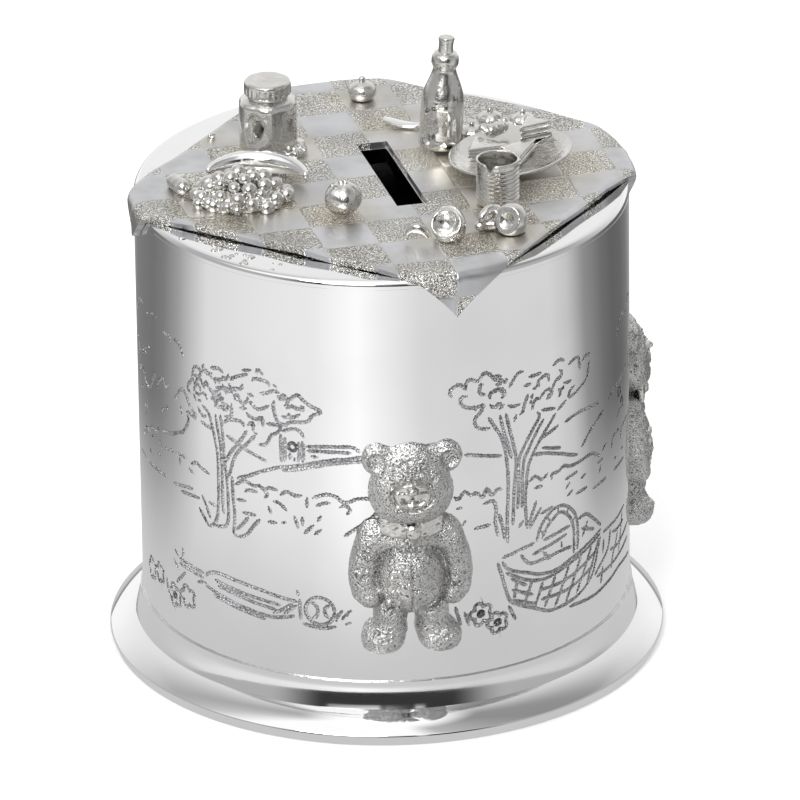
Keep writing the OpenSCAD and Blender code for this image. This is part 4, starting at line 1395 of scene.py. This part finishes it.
def makeJar():
    c = middleOf("honey_jar")
    b, l, h = jar["body"], jar["lid"], jar["high"]
    profile = [(0.0, 0.02), (b - 0.5, 0.02)] + arcPoints((b - 0.6, 0.65), 0.6, -80, 0, 4)
    profile += [(b, 3), (b, 6), (b - 0.05, 8.6)] + arcPoints((b - 1.3, 8.9), 1.25, 5, 70, 6)
    profile += [(3.75, 10.5), (3.7, 10.9)] + arcPoints((l - 0.35, 11.3), 0.35, -90, 0, 4)
    profile += [(l, 12.2)] + arcPoints((l - 0.55, h - 0.55), 0.55, 0, 90, 5)
    profile += [(l - 1.2, h - 0.06), (1.2, h - 0.12), (0.0, h - 0.1)]
    bm = bmesh.new()
    turned(bm, denser(profile, 0.4), jar["segments"])
    for v in bm.verts:
        p = v.co * 1000
        a = math.degrees(math.atan2(p.x, -p.y))
        push = 0.0
        if 0.8 < p.z < 10:
            # flat facets with a ridge at the front, a torn label and an oval hollow
            facet = (a + 12 + 30) % 60 - 30
            push += 0.32 * math.cos(math.radians(facet) * 3) - 0.1
            label = ((a + 40) / 24) ** 2 + ((p.z - 5.4) / 3.2) ** 2 + 0.25 * noise.noise(p * 0.9)
            push -= 0.45 * max(0.0, min(1.0, (1.0 - label) * 3))
            push -= 3.2 * max(0.0, min(1.0, (0.11 - ((a + 36) / 34) ** 2 - ((p.z - 5.6) / 4.6) ** 2) * 16))
            oval = ((a - 34) / 17) ** 4 + ((p.z - 5.0) / 2.9) ** 4
            push -= 0.45 * max(0.0, min(1.0, (1.0 - oval) * 3))
            push += 0.22 * math.exp(-((oval - 1.25) / 0.3) ** 2)
            push += 0.50 * math.exp(-((a + 6) / 5) ** 2)
        if 10.9 < p.z < 12.9 and math.hypot(p.x, p.y) > 4:
            push += 0.10 * math.sin(math.radians(a) * 26)
        r = v.co.xy.length
        if r > 1e-6:
            v.co.xy *= (r + mm(push)) / r
    bmesh.ops.translate(bm, verts=bm.verts, vec=(mm(c.x), mm(c.y), mm(deck)))
    puddle = bmesh.new()
    for i, (x, y, s) in enumerate(((4.6, -3.4, 1.5), (5.2, -1.6, 1.3), (3.2, -4.8, 1.2), (5.9, 0.2, 0.9), (1.4, -5.4, 0.8))):
        ballAt(puddle, (c.x + x, c.y + y, deck + 0.25), (s, s, s * (0.9 if i < 2 else 0.6)))
    puddle = castLump(puddle, "puddle", 0.22, 2)
    roughen(puddle, 0.45, 1.1, 2, True)
    spare = bpy.data.meshes.new("puddle")
    puddle.to_mesh(spare)
    puddle.free()
    bm.from_mesh(spare)
    lidPiece(bm, "honeyJar", "honey_jar", 0.07, 1.8)


wine = {"lean": 3.9, "place": (13.5, 9.2), "segments": 80}


def makeBottle():
    profile = [(0.0, 0.3), (3.4, 0.3)] + arcPoints((3.3, 1.1), 0.8, -80, 0, 4)
    profile += [(4.05, 3), (3.95, 6), (3.9, 9.2), (3.75, 10.4), (3.45, 11.5), (3.05, 12.6), (2.65, 13.6), (2.3, 14.6),
                (2.15, 15.2), (2.12, 15.6), (2.3, 16.0), (2.5, 16.5), (2.52, 17.2), (2.4, 17.9), (2.1, 18.4),
                (1.6, 18.6), (1.38, 18.7), (1.34, 19.6), (1.36, 20.6), (1.5, 21.2), (1.35, 21.5), (0.9, 21.6), (0.0, 21.6)]
    bm = bmesh.new()
    turned(bm, denser(profile, 0.4), wine["segments"])
    for v in bm.verts:
        p = v.co * 1000
        a = math.degrees(math.atan2(p.x, -p.y))
        push = 0.0
        if p.z < 11:
            edge = ((a + 30) / 36) ** 4 + ((p.z - 5.2) / 3.6) ** 4
            push -= 0.30 * max(0.0, min(1.0, (1.15 - edge) * 4))
            push += 0.22 * math.exp(-((edge - 1.2) / 0.25) ** 2)
            if edge < 1:
                push += 0.16 * noise.noise(Vector((a * 0.3, p.z * 2.6, 1)))
            push += 0.25 * math.exp(-((a - 22) / 5) ** 2)
        r = v.co.xy.length
        if r > 1e-6:
            v.co.xy *= (r + mm(push)) / r
    bmesh.ops.rotate(bm, verts=bm.verts, cent=(0, 0, 0), matrix=Matrix.Rotation(math.radians(wine["lean"]), 3, "Y"))
    bmesh.ops.translate(bm, verts=bm.verts, vec=(mm(wine["place"][0]), mm(wine["place"][1]), mm(deck - 0.1)))
    for v in bm.verts:
        v.co.z = max(v.co.z, mm(deck + 0.02))
    lidPiece(bm, "corkedBottle", "bottle", 0.05, 2.0)


grapes = {"seed": 11, "count": 52, "long": 8.2, "short": 6.0, "high": 4.2, "size": (1.1, 1.65), "turn": -14.0}


def makeGrapes():
    c = middleOf("grape_bunch")
    rng = random.Random(grapes["seed"])
    bm = bmesh.new()
    placed = []
    tries = 0
    while len(placed) < grapes["count"] and tries < 4000:
        tries += 1
        a = rng.uniform(0, 2 * math.pi)
        f = math.sqrt(rng.random())
        x, y = grapes["long"] * f * math.cos(a), grapes["short"] * f * math.sin(a)
        z = 0.7 + grapes["high"] * max(0.0, 1 - f * f)
        size = rng.uniform(*grapes["size"])
        if all((Vector((x, y, z)) - p).length > 0.80 * (size + s) for p, s in placed):
            placed.append((Vector((x, y, z)), size))
    for p, size in placed:
        made = bmesh.ops.create_uvsphere(bm, u_segments=20, v_segments=12, radius=mm(size))
        bmesh.ops.translate(bm, verts=made["verts"], vec=(p * 0.001))
    # leaves and a mat of smaller fruit under the heap
    for i in range(19):
        a = 2 * math.pi * i / 19
        f = 0.95 + 0.12 * math.sin(i * 2.4)
        made = bmesh.ops.create_uvsphere(bm, u_segments=16, v_segments=10, radius=mm(1.25 + 0.3 * math.sin(i * 1.7)))
        bmesh.ops.translate(bm, verts=made["verts"],
                            vec=(mm(grapes["long"] * f * math.cos(a)), mm(grapes["short"] * f * math.sin(a)), mm(0.5)))
    made = bmesh.ops.create_uvsphere(bm, u_segments=40, v_segments=16, radius=1.0)
    bmesh.ops.scale(bm, verts=made["verts"], vec=(mm(grapes["long"]), mm(grapes["short"]), mm(3.4)))
    bmesh.ops.rotate(bm, verts=bm.verts, cent=(0, 0, 0), matrix=Matrix.Rotation(math.radians(grapes["turn"]), 3, "Z"))
    bmesh.ops.bisect_plane(bm, geom=bm.verts[:] + bm.edges[:] + bm.faces[:], plane_co=(0, 0, -mm(0.1)),
                           plane_no=(0, 0, -1), clear_outer=True)
    bmesh.ops.translate(bm, verts=bm.verts, vec=(mm(c.x), mm(c.y), mm(deck)))
    lidPiece(bm, "grapeHeap", "grape_bunch", 0.05, 1.0, 75)


def makeBanana():
    bm = bmesh.new()
    centre, reach = Vector((-24.6, -2.6)), 10.2
    for i in range(61):
        t = i / 60
        a = math.radians(6 + 122 * t)
        s = 2.15 * (math.sin(math.pi * (0.05 + 0.90 * t))) ** 0.55
        ballAt(bm, (centre.x + reach * math.cos(a), centre.y + reach * math.sin(a), deck + 2.0), (s * 0.85, s * 0.85, s * 1.05))
    bm = castLump(bm, "banana", 0.25, 8)
    for v in bm.verts:
        v.co.z = max(v.co.z, mm(deck + 0.02))
    lidPiece(bm, "bananaCurve", "banana", 0.04, 3.0, 60, polishedPewter)


def makeFruitEnd():
    c = middleOf("fruit_end")
    bm = bmesh.new()
    rodBetween(bm, (c.x - 0.6, c.y + 1.7, deck + 1.0), (c.x + 0.2, c.y - 1.5, deck + 1.0), 1.5, 1.55)
    ballAt(bm, (c.x - 0.8, c.y + 2.6, deck + 1.1), (0.5, 0.7, 0.5))
    bm = castLump(bm, "fruitEnd", 0.2, 4)
    for v in bm.verts:
        v.co.z = max(v.co.z, mm(deck + 0.02))
    lidPiece(bm, "fruitTip", "fruit_end", 0.08, 1.2, 60)


def makeApple():
    c = middleOf("apple")
    bm = bmesh.new()
    profile = [(0.0, 0.1), (1.4, 0.0)] + arcPoints((0.35, 2.75), 3.0, -62, 78, 18) + [(0.65, 5.35), (0.3, 4.95), (0.0, 4.85)]
    turned(bm, profile, 56)
    for v in bm.verts:
        p = v.co * 1000
        a = math.degrees(math.atan2(p.x, -p.y))
        r = v.co.xy.length
        if r < 1e-6:
            continue
        push = 0.10 * math.cos(math.radians(a) * 5)
        push -= 0.55 * max(0.0, 1 - (((a - 42) % 360 - 0) / 20) ** 2 if abs(a - 42) < 20 else 0.0) * max(0.0, 1 - ((p.z - 3) / 2.4) ** 2)
        v.co.xy *= (r + mm(push)) / r
    bmesh.ops.translate(bm, verts=bm.verts, vec=(mm(c.x), mm(c.y), mm(deck)))
    spare = bmesh.new()
    rodBetween(spare, (c.x, c.y, deck + 4.8), (c.x + 0.5, c.y - 0.1, deck + 5.75), 0.36, 0.28)
    ballAt(spare, (c.x - 1.2, c.y - 0.5, deck + 5.35), (1.35, 0.6, 0.32), Matrix.Rotation(0.35, 3, "Y"))
    spare = castLump(spare, "stalk", 0.13, 2)
    mesh = bpy.data.meshes.new("stalk")
    spare.to_mesh(mesh)
    spare.free()
    bm.from_mesh(mesh)
    lidPiece(bm, "appleWithLeaf", "apple", 0.06, 1.6, 60)


def makeCake(name, node, radius, high, petals, seed):
    c = middleOf(node)
    bm = bmesh.new()
    profile = [(0.0, 0.02), (radius * 0.80, 0.02), (radius * 0.92, high * 0.12), (radius, high * 0.28)]
    profile += [(radius * 0.99, high * 0.40), (radius * 0.92, high * 0.52), (radius * 0.78, high * 0.63)]
    profile += [(radius * 0.58, high * 0.71), (radius * 0.34, high * 0.76), (radius * 0.24, high * 0.79)]
    profile += arcPoints((0.0, high * 0.88), min(0.62, radius * 0.26), -10, 90, 7)
    turned(bm, profile, 40)
    for v in bm.verts:
        r = v.co.xy.length
        if r > mm(radius * 0.6):
            a = math.atan2(v.co.y, v.co.x)
            v.co.xy *= 1 + 0.05 * math.cos(petals * a)
    bmesh.ops.translate(bm, verts=bm.verts, vec=(mm(c.x), mm(c.y), mm(deck)))
    roughen(bm, 0.10, 1.3, seed)
    lidPiece(bm, name, node, 0.03, 0.8, 50)


def makeKnife():
    low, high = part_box("butter_knife")
    bm = bmesh.new()
    for i in range(41):
        t = i / 40
        a = math.radians(204 + 48 * t)
        w = 1.35 * math.sin(math.pi * (0.1 + 0.82 * t)) ** 0.6
        ballAt(bm, (15.2 + 9 * math.cos(a), 27 + 9 * math.sin(a), deck + 0.35), (w, w, 0.5))
    bm = castLump(bm, "knife", 0.2, 3)
    for v in bm.verts:
        v.co.z = max(v.co.z, mm(deck + 0.02))
    lidPiece(bm, "butterKnife", "butter_knife", 0.04, 1.5, 60, polishedPewter)


dish = {"radius": 11.3, "tilt": 5.5}


def makePlate():
    c = middleOf("picnic_plate")
    r = dish["radius"]
    profile = [(0.0, 0.0), (6.2, 0.0), (6.6, 0.15), (9.6, 0.75), (r - 0.2, 1.55)]
    profile += arcPoints((r - 0.25, 1.85), 0.3, -60, 110, 6)
    profile += [(9.4, 1.35), (8.6, 1.15), (6.6, 0.75), (6.1, 0.62), (0.0, 0.6)]
    bm = bmesh.new()
    turned(bm, profile, 120)
    tilt = math.radians(dish["tilt"])
    for v in bm.verts:
        bend = noise.noise(v.co * 90)
        v.co.z += mm(0.25) * bend * v.co.xy.length / mm(r)
    bmesh.ops.rotate(bm, verts=bm.verts, cent=(0, 0, 0), matrix=Matrix.Rotation(-tilt, 3, "Y") @ Matrix.Rotation(-0.03, 3, "X"))
    lowest = min(v.co.z for v in bm.verts)
    bmesh.ops.translate(bm, verts=bm.verts, vec=(mm(c.x), mm(c.y), mm(deck + 0.02) - lowest))
    lidPiece(bm, "tiltedPlate", "picnic_plate", 0.04, 2.5, 50)


# cut sandwiches: two crusts with the filling standing a little proud between them
def makeSandwich(name, node, layers, lean, seed, shrink=0.0):
    low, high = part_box(node)
    low, high = low * 1000, high * 1000
    bm = bmesh.new()
    thick = (high.z - low.z) / len(layers)
    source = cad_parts[node].data
    outline = bmesh.new()
    outline.from_mesh(source)
    bmesh.ops.remove_doubles(outline, verts=outline.verts, dist=0.00001)
    corners = [v.co * 1000 for v in outline.verts if v.co.z * 1000 < low.z + 0.1]
    outline.free()
    middle = sum(corners, Vector()) / len(corners)
    corners.sort(key=lambda p: math.atan2(p.y - middle.y, p.x - middle.x))
    for i, grow in enumerate(layers):
        verts = [bm.verts.new((p + (p - middle) * grow - Vector((0, 0, p.z - low.z - i * thick))) * 0.001) for p in corners]
        face = bm.faces.new(verts)
        made = bmesh.ops.extrude_face_region(bm, geom=[face])
        top = [g for g in made["geom"] if isinstance(g, bmesh.types.BMVert)]
        bmesh.ops.translate(bm, verts=top, vec=(0, 0, mm(thick)))
    bmesh.ops.recalc_face_normals(bm, faces=bm.faces)
    bmesh.ops.bevel(bm, geom=bm.edges[:], offset=mm(min(0.28, thick * 0.4)), segments=3, profile=0.5, affect="EDGES", material=-1)
    bmesh.ops.subdivide_edges(bm, edges=[e for e in bm.edges if e.calc_length() > mm(0.9)], cuts=4, use_grid_fill=True)
    bmesh.ops.rotate(bm, verts=bm.verts, cent=middle * 0.001, matrix=Matrix.Rotation(math.radians(lean), 3, "Y"))
    roughen(bm, 0.12, 1.1, seed)
    lidPiece(bm, name, node, 0.03, 0.6, 40)


def makeRoll():
    low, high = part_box("bread_roll")
    c = middleOf("bread_roll")
    bm = bmesh.new()
    along = Vector((math.cos(math.radians(20)), math.sin(math.radians(20)), 0)) * 2.1
    rodBetween(bm, c + along * 1.0, c - along * 0.35 + Vector((0.2, -0.3, 0)), 1.2, 1.3)
    rodBetween(bm, c - along * 0.35 + Vector((0.2, -0.3, 0)), c - along * 0.9 + Vector((0, 0.9, 0.35)), 1.3, 0.95)
    bm = castLump(bm, "roll", 0.18, 3)
    for v in bm.verts:
        p = v.co * 1000 - c
        t = p.dot(along.normalized())
        v.co += v.normal * mm(-0.22 * max(0.0, math.cos(t * 3.6)) ** 6)
    lidPiece(bm, "breadRoll", "bread_roll", 0.08, 1.3, 60)


cup = {"radius": 3.95, "high": 8.55, "wall": 0.45, "ribs": 9, "segments": 90}


def makeBeaker():
    c = middleOf("beaker")
    r, h = cup["radius"], cup["high"]
    profile = [(0.0, 0.02), (r - 0.4, 0.02), (r - 0.12, 0.3)]
    for i in range(cup["ribs"]):
        z = 0.75 + i * (h - 1.4) / cup["ribs"]
        step = (h - 1.4) / cup["ribs"]
        profile += [(r - 0.20, z), (r - 0.02, z + step * 0.28), (r, z + step * 0.5), (r - 0.02, z + step * 0.72)]
    profile += [(r - 0.14, h - 0.45)] + arcPoints((r - 0.24, h - 0.22), 0.22, 0, 180, 6)
    profile += [(r - cup["wall"], 1.1), (r - cup["wall"] - 0.3, 0.9), (0.0, 0.9)]
    bm = bmesh.new()
    turned(bm, profile, cup["segments"])
    for v in bm.verts:
        p = v.co * 1000
        a = math.degrees(math.atan2(p.x, -p.y))
        nick = math.exp(-((a + 38) / 9) ** 2)
        if p.z > h - 2.2:
            v.co.z -= mm(1.5) * nick * (p.z - (h - 2.2)) / 2.2
        # ribs fade out on the worn left side
        fade = 0.5 + 0.5 * math.cos(math.radians(a - 75))
        r0 = v.co.xy.length
        if r0 > mm(r - 0.3) and p.z > 0.4:
            v.co.xy *= (r0 + (mm(r - 0.03) - r0) * (1 - fade) * 0.9) / r0
    bmesh.ops.translate(bm, verts=bm.verts, vec=(mm(c.x), mm(c.y), mm(deck)))
    lidPiece(bm, "ribbedBeaker", "beaker", 0.04, 2.0, 50)


def makeSplitBun():
    c = middleOf("split_bun")
    bm = bmesh.new()
    ballAt(bm, (c.x + 1.7, c.y - 1.2, deck + 2.0), (3.0, 3.1, 3.3))
    # the open half: a lip that curls round a hollow
    for i in range(19):
        a = math.radians(-70 + 230 * i / 18)
        s = 0.75 + 0.25 * math.sin(math.pi * i / 18)
        ballAt(bm, (c.x - 1.7 + 2.1 * math.cos(a) * 0.9, c.y + 1.0 + 1.2 * math.cos(a), deck + 1.9 + 1.75 * math.sin(a)), (s, s, s))
    ballAt(bm, (c.x - 1.2, c.y + 1.2, deck + 0.9), (2.9, 1.9, 1.3))
    ballAt(bm, (c.x - 3.2, c.y + 0.6, deck + 0.9), (1.5, 1.1, 1.0))
    bm = castLump(bm, "bun", 0.2, 4)
    for v in bm.verts:
        p = v.co * 1000 - Vector((c.x + 1.7, c.y - 1.2, deck + 2.0))
        # cut face of the closed half looks back at the open one
        facing = Vector((-0.62, -0.70, 0.35)).normalized()
        past = p.dot(facing) - 1.9
        side = (p - facing * p.dot(facing)).length
        if past > 0 and side < 2.6:
            v.co -= facing * mm(past + 0.5 * max(0.0, 1 - (side / 1.5) ** 2))
        v.co.z = max(v.co.z, mm(deck + 0.02))
    lidPiece(bm, "splitBun", "split_bun", 0.08, 1.5, 60)


def makePeach():
    c = middleOf("peach_half")
    bm = bmesh.new()
    ballAt(bm, (c.x, c.y, deck + 2.2), (3.1, 3.5, 3.6))
    bm = castLump(bm, "peach", 0.22, 3)
    facing = Vector((-0.55, -0.62, 0.56)).normalized()
    across = facing.cross(Vector((0, 0, 1))).normalized()
    up = across.cross(facing)
    for v in bm.verts:
        p = v.co * 1000 - Vector((c.x, c.y, deck + 2.2))
        front = p.dot(facing)
        flat = 1.1
        if front > flat:
            x, y = p.dot(across), p.dot(up)
            r = math.hypot(x, y * 1.1)
            dish = 1.35 * max(0.0, 1 - (r / 2.3) ** 2) - 0.35 * math.exp(-((r - 2.75) / 0.3) ** 2)
            p -= facing * (front - flat + dish)
            v.co = (p + Vector((c.x, c.y, deck + 2.2))) * 0.001
        v.co.z = max(v.co.z, mm(deck + 0.02))
    lidPiece(bm, "peachHalf", "peach_half", 0.06, 1.4, 60)


def makeSlice():
    c = middleOf("peach_slice")
    bm = bmesh.new()
    for i in range(25):
        t = i / 24
        a = math.pi * (0.05 + 0.9 * t)
        s = 0.35 + 0.65 * math.sin(math.pi * t)
        ballAt(bm, (c.x - 1.9 * math.cos(a) * 0.9, c.y + 0.9 * math.cos(a), deck + 0.6 + 2.0 * math.sin(a)), (s * 0.8, s * 0.7, s))
    bm = castLump(bm, "slice", 0.16, 3)
    for v in bm.verts:
        v.co.z = max(v.co.z, mm(deck + 0.02))
    lidPiece(bm, "peachSlice", "peach_slice", 0.05, 1.2, 60)


def makeCrumb():
    c = middleOf("crumb")
    bm = bmesh.new()
    for x, y, z, s in ((0, 0, 0.3, 0.75), (0.4, 0.2, 0.8, 0.45), (-0.3, -0.2, 0.9, 0.35)):
        ballAt(bm, (c.x + x, c.y + y, deck + z), s)
    bm = castLump(bm, "crumb", 0.12, 2)
    for v in bm.verts:
        v.co.z = max(v.co.z, mm(deck + 0.02))
    lidPiece(bm, "solderCrumb", "crumb", 0.08, 0.6, 60)


makeBear("frontBear", "front_bear", bear["frontTurn"], 1.0)
makeBear("sideBear", "side_bear", bear["sideTurn"], 7.0)
print("bears cast")
makeJar()
makeBottle()
makeGrapes()
makeBanana()
makeFruitEnd()
makeApple()
makeCake("icedBun", "iced_bun", 2.5, 4.2, 0, 1.0)
makeCake("cakeOne", "cake_1", 2.3, 3.1, 8, 2.0)
makeCake("cakeTwo", "cake_2", 2.4, 3.2, 9, 3.0)
makeCake("cakeThree", "cake_3", 2.3, 3.1, 8, 4.0)
makeCake("cakeFour", "cake_4", 2.3, 3.6, 7, 5.0)
makeKnife()
makePlate()
makeSandwich("sandwichLeft", "sandwich_1", (0.0, -0.04, 0.0), 3.0, 1.0)
makeSandwich("sandwichMiddle", "sandwich_2", (0.0, -0.05, 0.02), -6.0, 2.0)
makeSandwich("sandwichRight", "sandwich_3", (0.02, -0.04, 0.02), -4.0, 3.0)
makeRoll()
makeBeaker()
makeSplitBun()
makePeach()
makeSlice()
makeCrumb()
print("picnic set out")


for name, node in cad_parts.items():
    if node.hide_render:
        continue
    mat = castPewter
    if name in ("foot_ring", "top_plate"):
        mat = polishedPewter
    if name in ("front_bear", "side_bear"):
        mat = furPewter
    node.data.materials.clear()
    node.data.materials.append(mat)
